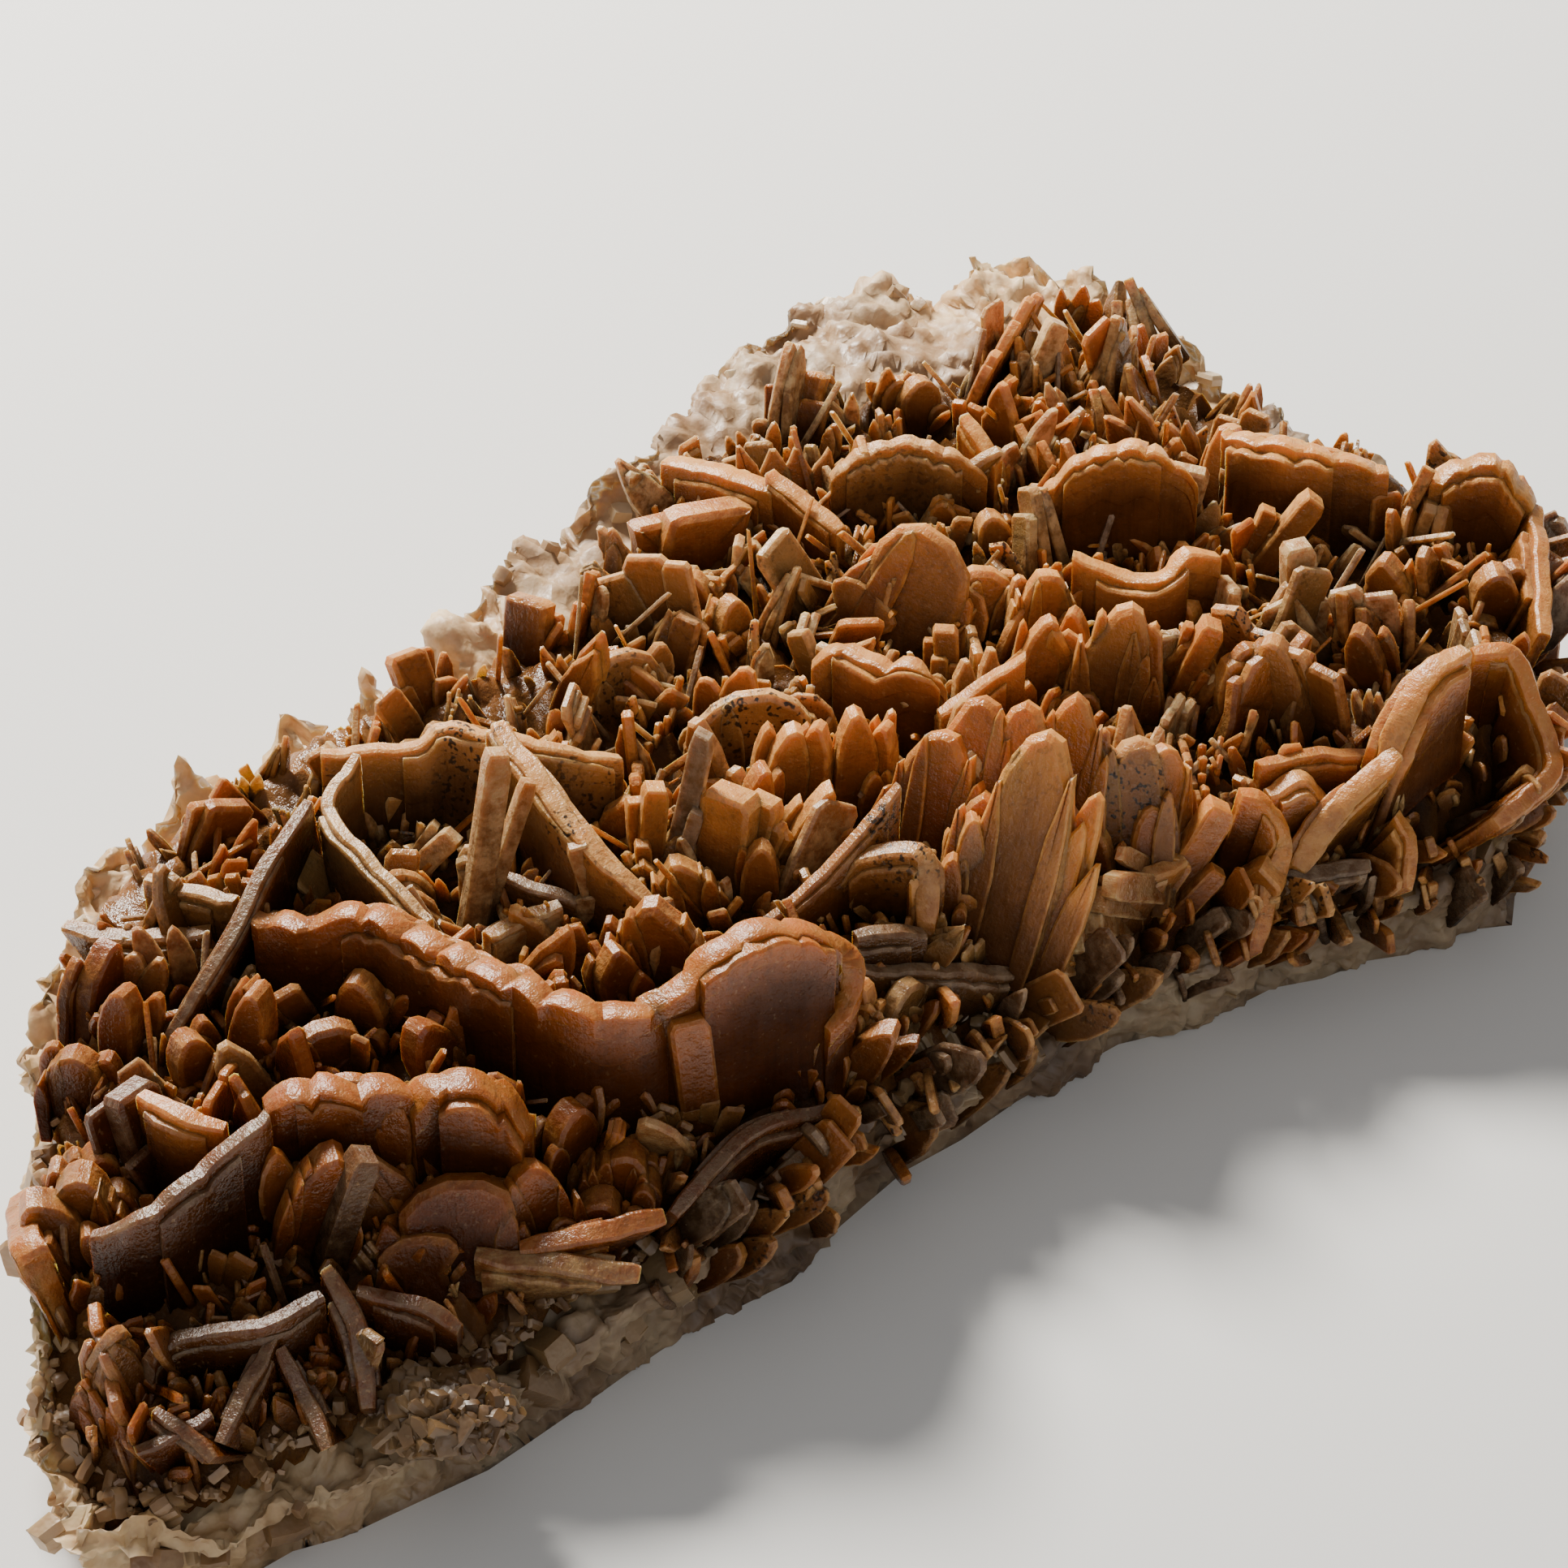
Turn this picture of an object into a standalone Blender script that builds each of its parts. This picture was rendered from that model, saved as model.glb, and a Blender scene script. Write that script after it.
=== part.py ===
"""Barite specimen: a bed of intergrown tabular crystals on a pale crystalline matrix.

Lengths are in millimetres until a mesh is made, which is in metres. +Z is up. The specimen rests on
its flat underside at z = 0, and the origin is the middle of the underside's bounding box. +X runs
along the specimen. Crystals are placed by where the photograph shows them: seen() finds the point at
a given height behind a pixel of the 1932 by 1932 frame.
"""
import math
import random

import bpy
from mathutils import Matrix, Vector
from mathutils.geometry import delaunay_2d_cdt

MM = 0.001

# Driving dimensions, in millimetres
BED_LEVEL = 12.2            # upper face of the brown crust, in the middle
NEAR_END_DROP = 3.4         # how much lower the crust lies at the near end
FRONT_DROP = 5.4            # how far the crust folds down along the front edge
FRONT_FOLD = 6.5            # plan width of that fold in the middle
NEAR_FOLD = 7.0             # how much wider the fold is at the near end
FRONT_POINTS = 14           # the first points of the plan are that edge
CRUST = 2.4                 # thickness of the crust under the crystals
CRUST_EDGE = 1.1            # the same at the edge of the bed
SEAM = 0.3                  # gap between the crust and the matrix
CUT_AWAY = 0.4              # how far the uncut crust reaches into the matrix
CUTTER_REACH = 2.0          # how far past the matrix the same cut goes
CUTTER_BOTTOM = -6.0
RIM_BELOW_CRUST = 0.5       # how far the bare matrix lies below the crust's level
GRID = 6.0                  # size of the facets on the broad faces
WALL_LEVELS = (0.72, 0.36, 0.0)
WALL_ROUGHNESS = 0.8
SINK = 1.8                  # how deep a crystal's foot reaches into the crust
ROOT_MARGIN = 0.9           # how far inside the bed's edge every foot stands
SPINE_Y = 3.0               # the bed's middle line, towards which a foot is moved
FLAT_ANGLE = 3.0            # facets that meet at less than this many degrees become one

# The photograph's viewpoint: eye in millimetres, heading from +X towards +Y, dip below level
EYE = Vector((-152.8, -84.2, 147.8))
HEADING = math.radians(30.0)
DIP = math.radians(37.86)
FOCAL_PIXELS = 4600.0
MIDDLE_PIXEL = 966.0

# Plan of the matrix, anticlockwise from the near end
MATRIX_PLAN = (
    (-64, 8), (-60, 2), (-54, -1), (-47, -5), (-41, -7), (-34, -9), (-27, -12), (-17, -14),
    (-8, -17), (0, -20), (6, -24), (12, -28), (17, -32), (22, -35), (28, -34), (36, -31),
    (44, -27), (48, -23), (51, -16), (54, -8), (57, 0), (61, 9), (64, 18), (61, 22), (56, 24),
    (51, 30), (44, 32), (36, 31), (26, 30), (19, 32), (12, 31), (4, 30), (-2, 31), (-6, 33),
    (-14, 35), (-22, 36), (-29, 35), (-36, 32), (-42, 28), (-49, 22), (-55, 17), (-61, 13))

# Plan of the crystal bed, which leaves the matrix bare along the back and at the far end
BED_PLAN = (
    (-61, 8), (-57, 4), (-51, 1), (-44, -3), (-38, -5), (-30, -8), (-24, -10.5), (-15, -12.5),
    (-7, -15.5), (2, -19.5), (9, -24), (16, -29), (23, -32.5), (31, -31), (38, -28), (44, -24.5),
    (47, -19), (48, -13), (47, -6), (50, 0), (55, 7), (56, 12), (47, 13), (40, 17), (35, 20.5),
    (30, 24), (24, 26), (14, 24), (5, 22.5), (0, 25), (-6, 27.5), (-11, 30), (-17, 31), (-25, 32),
    (-31, 31.5), (-38, 27.5), (-45, 23), (-52, 17.5), (-58, 13))

# Outlines of a blade's face: across from -0.5 to 0.5 of its width, up from 0 to 1 of its length
ROUND = ((-0.45, 0), (-0.5, 0.55), (-0.36, 0.87), (0, 1), (0.36, 0.87), (0.5, 0.55), (0.45, 0))
POINT = ((-0.5, 0), (-0.42, 0.5), (-0.05, 1), (0.08, 1), (0.44, 0.45), (0.5, 0))
SQUARE = ((-0.5, 0), (-0.5, 0.93), (-0.34, 1), (0.3, 1), (0.5, 0.9), (0.5, 0))
FAN = ((-0.3, 0), (-0.5, 0.5), (-0.44, 0.82), (-0.16, 1), (0.15, 1), (0.42, 0.85), (0.5, 0.5), (0.3, 0))


def clear_scene():
    for thing in list(bpy.data.objects):
        bpy.data.objects.remove(thing, do_unlink=True)


def smooth(value):
    t = min(max(value, 0.0), 1.0)
    return t * t * (3.0 - 2.0 * t)


def waves(x, y):
    """Gentle lumps of about one millimetre that repeat nowhere on the specimen."""
    broad = math.sin(0.21 * x + 1.3) * math.cos(0.26 * y + 0.4)
    fine = math.sin(0.57 * x - 0.33 * y) * math.cos(0.49 * y + 0.21 * x + 2.0)
    return 0.6 * broad + 0.45 * fine


def crust_height(x, y):
    """Height of the crust's upper face, which folds down along the front edge."""
    plan = list(MATRIX_PLAN)
    inward = distance_to((x, y), plan[:FRONT_POINTS], False) if inside((x, y), plan) else 0.0
    near = smooth((-12.0 - x) / 30.0)
    level = BED_LEVEL - NEAR_END_DROP * smooth((-28.0 - x) / 36.0)
    drop = FRONT_DROP * (1.0 - 0.55 * smooth((x - 10.0) / 14.0) - 0.25 * near)
    level -= drop * smooth(1.0 - inward / (FRONT_FOLD + NEAR_FOLD * near))
    return level + 0.7 * waves(x, y)


def view_axes():
    """The photograph's right, up and forward directions."""
    forward = Vector((math.cos(DIP) * math.cos(HEADING), math.cos(DIP) * math.sin(HEADING), -math.sin(DIP)))
    right = Vector((math.sin(HEADING), -math.cos(HEADING), 0.0))
    return right, right.cross(forward), forward


def seen(pixel, height):
    """The point at this height that the photograph shows at this pixel."""
    right, up, forward = view_axes()
    aside = (pixel[0] - MIDDLE_PIXEL) / FOCAL_PIXELS
    below = (pixel[1] - MIDDLE_PIXEL) / FOCAL_PIXELS
    ray = forward + aside * right - below * up
    return EYE + ray * ((height - EYE.z) / ray.z)


def over_crust(pixel, rise):
    """The point that the photograph shows at this pixel, this far above the crust."""
    def gap(height):
        point = seen(pixel, height)
        return height - rise - crust_height(point.x, point.y)

    high, low = 30.0, 28.0
    while gap(low) > 0.0:
        high, low = low, low - 1.0
    for _ in range(12):
        middle = (high + low) / 2
        high, low = (middle, low) if gap(middle) > 0.0 else (high, middle)
    return seen(pixel, high)


def inside(point, loop):
    """Whether a plan position is inside a closed outline."""
    x, y = point[0], point[1]
    hit = False
    for (ax, ay), (bx, by) in zip(loop, loop[1:] + loop[:1]):
        if (ay > y) != (by > y) and x < (bx - ax) * (y - ay) / (by - ay) + ax:
            hit = not hit
    return hit


def distance_to(point, line, closed=True):
    """Shortest plan distance from a position to an outline."""
    p = Vector(point[:2])
    best = math.inf
    for a, b in zip(line, line[1:] + line[:1] if closed else line[1:]):
        start, end = Vector(a), Vector(b)
        along = end - start
        t = min(max((p - start).dot(along) / along.length_squared, 0.0), 1.0)
        best = min(best, (p - start - t * along).length)
    return best


def rooted(foot):
    """The foot itself, or the place just inside the bed's edge from which such a crystal leans out."""
    loop = list(BED_PLAN)
    middle = Vector((0.85 * foot.x, SPINE_Y, foot.z))
    for share in range(40):
        moved = foot.lerp(middle, share / 40)
        if inside(moved, loop) and distance_to(moved, loop) > ROOT_MARGIN:
            return moved
    return middle


def broken_outline(plan, rng, roughness):
    """The plan with a jittered point added in the middle of each side."""
    loop = []
    for (ax, ay), (bx, by) in zip(plan, plan[1:] + plan[:1]):
        loop.append((float(ax), float(ay)))
        middle = Vector(((ax + bx) / 2, (ay + by) / 2))
        side = Vector((by - ay, ax - bx)).normalized()
        middle += side * rng.uniform(-roughness, roughness * 0.4)
        loop.append((middle.x, middle.y))
    return loop


def plan_triangles(outer, inner, rng):
    """Plan points and triangles of the broad faces, with the bed's outline among their edges."""
    points = [Vector(p) for p in outer] + [Vector(p) for p in inner]
    edges = [(i, (i + 1) % len(outer)) for i in range(len(outer))]
    first = len(outer)
    edges += [(first + i, first + (i + 1) % len(inner)) for i in range(len(inner))]
    rows = int(80 / (GRID * 0.87))
    columns = int(140 / GRID)
    for row in range(rows):
        for column in range(columns):
            x = -70 + GRID * (column + 0.5 * (row % 2)) + rng.uniform(-0.32, 0.32) * GRID
            y = -40 + GRID * 0.87 * row + rng.uniform(-0.32, 0.32) * GRID
            near = min(distance_to((x, y), outer), distance_to((x, y), inner))
            if inside((x, y), outer) and near > 0.42 * GRID:
                points.append(Vector((x, y)))
    found = delaunay_2d_cdt(points, edges, [], 1, 1e-5)
    return [tuple(p) for p in found[0]], [tuple(f) for f in found[2]]


def make_object(name, vertices, faces):
    """A mesh object from millimetre positions."""
    mesh = bpy.data.meshes.new(name)
    mesh.from_pydata([tuple(MM * c for c in v) for v in vertices], [], faces)
    made = bpy.data.objects.new(name, mesh)
    bpy.context.scene.collection.objects.link(made)
    return made


def stone_material(name, colour, roughness):
    material = bpy.data.materials.new(name)
    material.use_nodes = True
    shader = material.node_tree.nodes["Principled BSDF"]
    shader.inputs["Base Color"].default_value = (*colour, 1.0)
    shader.inputs["Roughness"].default_value = roughness
    shader.inputs["Metallic"].default_value = 0.0
    return material


class Ground:
    """The matrix's broken upper face, which the crust follows at a constant gap."""

    def __init__(self, rng):
        self.outer = broken_outline(MATRIX_PLAN, rng, 1.0)
        self.inner = [(float(x), float(y)) for x, y in BED_PLAN]
        self.plan, self.faces = plan_triangles(self.outer, self.inner, rng)
        self.under_bed = [f for f in self.faces if inside(self.middle(f), self.inner)]
        in_bed = {i for f in self.under_bed for i in f}
        bare = {i for f in self.faces if f not in set(self.under_bed) for i in f}
        self.bed_edge = in_bed & bare
        self.matrix_top = []
        self.crust_top = []
        for i, (x, y) in enumerate(self.plan):
            level = crust_height(x, y)
            lump = rng.uniform(-0.5, 0.9)
            thickness = CRUST_EDGE if i in self.bed_edge else CRUST
            if i in in_bed:
                self.matrix_top.append(level - CRUST)
                self.crust_top.append(level - CRUST + SEAM + thickness + 0.3 * lump)
            elif y < SPINE_Y:
                self.matrix_top.append(level - CRUST + 0.3 * lump)
                self.crust_top.append(level)
            else:
                self.matrix_top.append(level - RIM_BELOW_CRUST + lump)
                self.crust_top.append(level)

    def middle(self, face):
        return [sum(self.plan[i][axis] for i in face) / 3 for axis in (0, 1)]

    def rim(self, faces):
        """The outer edges of some faces, as start and end of each edge in turn."""
        edges = {(f[k], f[(k + 1) % 3]) for f in faces for k in range(3)}
        return dict((a, b) for a, b in edges if (b, a) not in edges)

    def ring(self, faces):
        """The outer edge of some faces, as one loop of point numbers."""
        follow = self.rim(faces)
        start = min(follow)
        loop = [start]
        while follow[loop[-1]] != start:
            loop.append(follow[loop[-1]])
        return loop


def make_matrix(ground, rng):
    """The pale base: broken upper face, rough walls and a flat underside."""
    vertices = [(x, y, z) for (x, y), z in zip(ground.plan, ground.matrix_top)]
    faces = list(ground.faces)
    upper = ground.ring(ground.faces)
    for level in WALL_LEVELS:
        lower = []
        for i in upper:
            x, y, z = vertices[i]
            out = Vector((x, y)).normalized() * rng.uniform(-WALL_ROUGHNESS, 0.35 * WALL_ROUGHNESS)
            top = ground.matrix_top[i] if i < len(ground.plan) else z
            height = 0.0 if level == 0.0 else top * (level + rng.uniform(-0.06, 0.06))
            lower.append(len(vertices))
            vertices.append((x + out.x, y + out.y, height))
        for k in range(len(upper)):
            n = (k + 1) % len(upper)
            faces.append((upper[n], upper[k], lower[k], lower[n]))
        upper = lower
    faces.append(tuple(reversed(upper)))
    matrix = make_object("matrix", vertices, faces)
    matrix.data.materials.append(stone_material("pale matrix", (0.66, 0.58, 0.44), 0.6))
    return matrix


def make_crust(ground):
    """The brown crust that all the crystals stand in, before its underside is cut."""
    used = sorted({i for f in ground.under_bed for i in f})
    number = {i: k for k, i in enumerate(used)}
    count = len(used)
    vertices = [(*ground.plan[i], ground.crust_top[i]) for i in used]
    vertices += [(*ground.plan[i], ground.matrix_top[i] - CUT_AWAY) for i in used]
    faces = [tuple(number[i] for i in f) for f in ground.under_bed]
    faces += [tuple(number[i] + count for i in reversed(f)) for f in ground.under_bed]
    ring = ground.ring(ground.under_bed)
    for a, b in zip(ring, ring[1:] + ring[:1]):
        faces.append((number[b], number[a], number[a] + count, number[b] + count))
    crust = make_object("crystal_bed", vertices, faces)
    crust.data.materials.append(stone_material("brown barite", (0.42, 0.19, 0.07), 0.35))
    return crust


def make_underside(ground):
    """A cutter that shapes the crust's underside and keeps every crystal clear of the matrix."""
    vertices = [(x, y, z + SEAM) for (x, y), z in zip(ground.plan, ground.matrix_top)]
    faces = list(ground.faces)
    upper = ground.ring(ground.faces)
    for outward, height in ((CUTTER_REACH, None), (CUTTER_REACH, CUTTER_BOTTOM)):
        lower = [len(vertices) + k for k in range(len(upper))]
        for i in ground.ring(ground.faces):
            x, y, z = vertices[i]
            shift = Vector((x, y)).normalized() * outward
            vertices.append((x + shift.x, y + shift.y, z if height is None else height))
        for k in range(len(upper)):
            n = (k + 1) % len(upper)
            faces.append((upper[n], upper[k], lower[k], lower[n]))
        upper = lower
    faces.append(tuple(reversed(upper)))
    cutter = make_object("underside_cutter", vertices, faces)
    cutter.hide_render = True
    cutter.display_type = 'WIRE'
    return cutter


class Crystals:
    """Collects the closed shells of the blades and plates in one mesh."""

    def __init__(self):
        self.vertices = []
        self.faces = []

    def prism(self, outline, foot, across, up, thick, bevelled):
        """A tabular crystal with this outline, given as (across, up) positions in millimetres."""
        normal = across.cross(up).normalized()
        middle = Vector((0.0, sum(v for _, v in outline) / len(outline)))
        inset = 1.0 - 0.30 * thick / max(u for u, _ in outline) if bevelled else 1.0
        inset = max(inset, 0.45)
        rings = [(-0.5, inset), (0.0, 1.0), (0.5, inset)] if bevelled else [(-0.5, 1.0), (0.5, 1.0)]
        base = len(self.vertices)
        count = len(outline)
        for side, size in rings:
            for u, v in outline:
                flat = (Vector((u, v)) - middle) * size + middle
                self.vertices.append(foot + across * flat.x + up * flat.y + normal * (side * thick))
        for r in range(len(rings) - 1):
            for k in range(count):
                n = (k + 1) % count
                low, high = base + r * count, base + (r + 1) * count
                self.faces.append((low + k, low + n, high + n, high + k))
        last = base + (len(rings) - 1) * count
        self.faces.append(tuple(base + k for k in reversed(range(count))))
        self.faces.append(tuple(last + k for k in range(count)))

    def blade(self, foot, tip, width, thick, turn=0.0, form=ROUND):
        """A blade from a foot on the crust to its tip. A turn of 0 shows its face, 90 its edge."""
        length = (tip - foot).length
        up = (tip - foot) / length
        sight = ((foot + tip) / 2 - EYE).normalized()
        across = Matrix.Rotation(math.radians(turn), 3, up) @ sight.cross(up).normalized()
        outline = [(-0.36 * width, -SINK)]
        outline += [(u * width, v * length) for u, v in form]
        outline.append((0.36 * width, -SINK))
        outline.reverse()
        self.prism(outline, foot, across, up, thick, thick >= 2.0)

    def tongue(self, foot, tip, rise, width, thick, turn=0.0, form=ROUND):
        """A blade whose foot and tip are pixels, and whose tip stands this far above its foot."""
        root = rooted(over_crust(foot, 0.0))
        self.blade(root, seen(tip, root.z + rise), width, thick, turn, form)

    def wall(self, rim, rise, thick, drop, lean=0.0):
        """A plate that runs down into the crust from a rim of pixels. Lean moves its foot to the viewer."""
        heights = rise if isinstance(rise, tuple) else (rise,) * len(rim)
        crest = [over_crust(pixel, high) for pixel, high in zip(rim, heights)]
        back = Vector((math.cos(HEADING), math.sin(HEADING), 0.0))
        base = len(self.vertices)
        for i, top in enumerate(crest):
            along = crest[min(i + 1, len(crest) - 1)] - crest[max(i - 1, 0)]
            foot = rooted(top - Vector((0.0, 0.0, drop)) - back * lean)
            side = along.cross(top - foot).normalized() * (thick / 2)
            self.vertices += [foot + 1.25 * side, top + 0.8 * side, top - 0.8 * side, foot - 1.25 * side]
        ring = 4
        for i in range(len(crest) - 1):
            low, high = base + i * ring, base + (i + 1) * ring
            for k in range(ring):
                n = (k + 1) % ring
                self.faces.append((low + k, high + k, high + n))
                self.faces.append((low + k, high + n, low + n))
        last = base + (len(crest) - 1) * ring
        self.faces.append(tuple(base + k for k in range(ring)))
        self.faces.append(tuple(last + k for k in reversed(range(ring))))


def add_front_plates(bed):
    """The big curved cockscomb plate in front, and the plates and sticks around it."""
    bed.wall(rim=((315, 1122), (392, 1124), (460, 1117), (519, 1148), (600, 1182), (698, 1224), (770, 1240),
                  (815, 1219)), rise=(5.5, 6.5, 7.0, 7.0, 7.0, 7.0, 7.0, 7.5), thick=2.3, drop=9.5, lean=1.5)
    bed.wall(rim=((800, 1232), (841, 1204), (877, 1168), (938, 1138), (1000, 1140), (1040, 1165), (1042, 1215),
                  (1014, 1262)), rise=(7.0, 8.0, 9.0, 9.5, 9.0, 8.0, 6.5, 5.0), thick=2.2, drop=11.0, lean=1.0)
    bed.tongue(foot=(862, 1385), tip=(845, 1248), rise=7.5, width=2.3, thick=1.7, turn=15, form=SQUARE)
    bed.wall(rim=((379, 985), (330, 1060), (290, 1140), (245, 1215), (201, 1288)),
             rise=(7.5, 6.5, 5.5, 3.8, 1.5), thick=1.5, drop=8.0, lean=-3.0)
    bed.wall(rim=((78, 1137), (150, 1150), (259, 1143)), rise=2.2, thick=1.6, drop=3.6)
    bed.wall(rim=((179, 1079), (240, 1095), (290, 1105)), rise=3.6, thick=1.4, drop=5.0)
    bed.wall(rim=((112, 1518), (180, 1490), (260, 1425), (330, 1370)), rise=(4.5, 5.5, 6.5, 7.0), thick=1.9,
             drop=8.5, lean=1.0)
    bed.wall(rim=((325, 1355), (370, 1330), (440, 1328), (504, 1335)), rise=(6.5, 7.0, 7.0, 6.0), thick=2.4,
             drop=8.5, lean=0.5)
    bed.tongue(foot=(478, 1450), tip=(482, 1350), rise=5.5, width=2.4, thick=2.0, form=ROUND)
    bed.wall(rim=((504, 1362), (530, 1332), (575, 1326), (620, 1340), (656, 1378)), rise=(5.5, 6.5, 7.0, 6.5, 5.0),
             thick=2.6, drop=8.5, lean=0.5)
    bed.tongue(foot=(375, 1525), tip=(402, 1412), rise=6.0, width=3.2, thick=2.0, turn=20)
    bed.tongue(foot=(402, 1560), tip=(447, 1420), rise=7.0, width=2.0, thick=2.3, turn=30, form=SQUARE)
    bed.tongue(foot=(560, 1560), tip=(556, 1448), rise=4.5, width=6.0, thick=2.0, turn=0, form=FAN)
    bed.tongue(foot=(665, 1530), tip=(640, 1435), rise=5.0, width=3.6, thick=1.6, turn=10)
    bed.wall(rim=((640, 1535), (730, 1518), (820, 1495)), rise=(3.0, 3.5, 4.0), thick=1.5, drop=5.5)
    bed.wall(rim=((586, 1541), (690, 1555), (790, 1571)), rise=(2.6, 2.8, 2.2), thick=1.6, drop=5.0)
    bed.wall(rim=((830, 1495), (877, 1439), (922, 1393), (980, 1372), (1035, 1362)), rise=(2.6, 3.2, 3.6, 3.4, 3.0),
             thick=1.9, drop=6.0)
    bed.wall(rim=((955, 1450), (1000, 1412), (1040, 1385)), rise=(1.4, 1.6, 1.6), thick=1.6, drop=4.5)


def add_near_end(bed):
    """The star of crossing plates at the near end, and the orange nubs along its left edge."""
    bed.wall(rim=((395, 1590), (330, 1625), (235, 1640), (187, 1665), (179, 1701)), rise=(4.0, 4.2, 3.6, 3.0, 1.8),
             thick=1.6, drop=6.0)
    bed.wall(rim=((400, 1560), (430, 1610), (446, 1670), (452, 1735)), rise=(4.4, 3.8, 3.0, 2.0), thick=1.8, drop=6.0)
    bed.wall(rim=((440, 1585), (510, 1600), (567, 1634)), rise=(3.8, 3.6, 2.8), thick=1.7, drop=5.5)
    bed.wall(rim=((335, 1645), (300, 1710), (268, 1777)), rise=(3.6, 3.0, 2.2), thick=1.5, drop=5.0)
    bed.wall(rim=((345, 1660), (378, 1725), (402, 1786)), rise=(3.4, 2.6, 2.0), thick=1.4, drop=5.0)
    bed.wall(rim=((165, 1786), (212, 1762), (259, 1737)), rise=(2.6, 2.8, 2.8), thick=1.5, drop=5.0)
    bed.wall(rim=((190, 1735), (225, 1760), (260, 1800)), rise=(3.0, 3.0, 2.4), thick=1.0, drop=4.5)
    bed.wall(rim=((20, 1470), (30, 1530), (60, 1580)), rise=(5.0, 4.5, 3.5), thick=2.2, drop=7.0)
    bed.tongue(foot=(110, 1520), tip=(95, 1440), rise=4.5, width=3.4, thick=2.2, turn=-15)
    bed.tongue(foot=(55, 1545), tip=(35, 1475), rise=4.0, width=3.0, thick=2.2, turn=-20)
    bed.tongue(foot=(190, 1445), tip=(160, 1335), rise=5.5, width=3.0, thick=1.6, turn=35, form=SQUARE)
    bed.wall(rim=((174, 1344), (225, 1370), (277, 1388)), rise=(6.0, 6.0, 5.5), thick=1.4, drop=7.5)
    bed.tongue(foot=(130, 1460), tip=(118, 1415), rise=3.0, width=2.2, thick=1.7)
    bed.tongue(foot=(85, 1360), tip=(90, 1295), rise=3.6, width=3.2, thick=1.8, turn=-20)
    bed.tongue(foot=(150, 1310), tip=(148, 1215), rise=4.6, width=2.2, thick=1.8, turn=-30)
    bed.tongue(foot=(310, 1310), tip=(318, 1215), rise=5.5, width=2.2, thick=1.9, turn=-25)
    bed.tongue(foot=(250, 1340), tip=(225, 1275), rise=4.0, width=2.6, thick=1.7, turn=15)
    bed.tongue(foot=(80, 1250), tip=(130, 1160), rise=4.5, width=2.6, thick=1.5, turn=50)
    bed.tongue(foot=(400, 1320), tip=(392, 1262), rise=3.2, width=4.0, thick=1.6, turn=10, form=FAN)
    bed.tongue(foot=(445, 1275), tip=(450, 1205), rise=4.4, width=3.0, thick=1.6, turn=-20)
    bed.tongue(foot=(545, 1330), tip=(520, 1255), rise=4.4, width=3.0, thick=1.7, turn=30)
    bed.tongue(foot=(700, 1430), tip=(700, 1360), rise=4.2, width=3.0, thick=1.6, turn=40)
    bed.tongue(foot=(760, 1465), tip=(762, 1412), rise=3.0, width=3.2, thick=2.0)
    bed.tongue(foot=(735, 1510), tip=(740, 1470), rise=2.4, width=2.6, thick=1.9)


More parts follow.
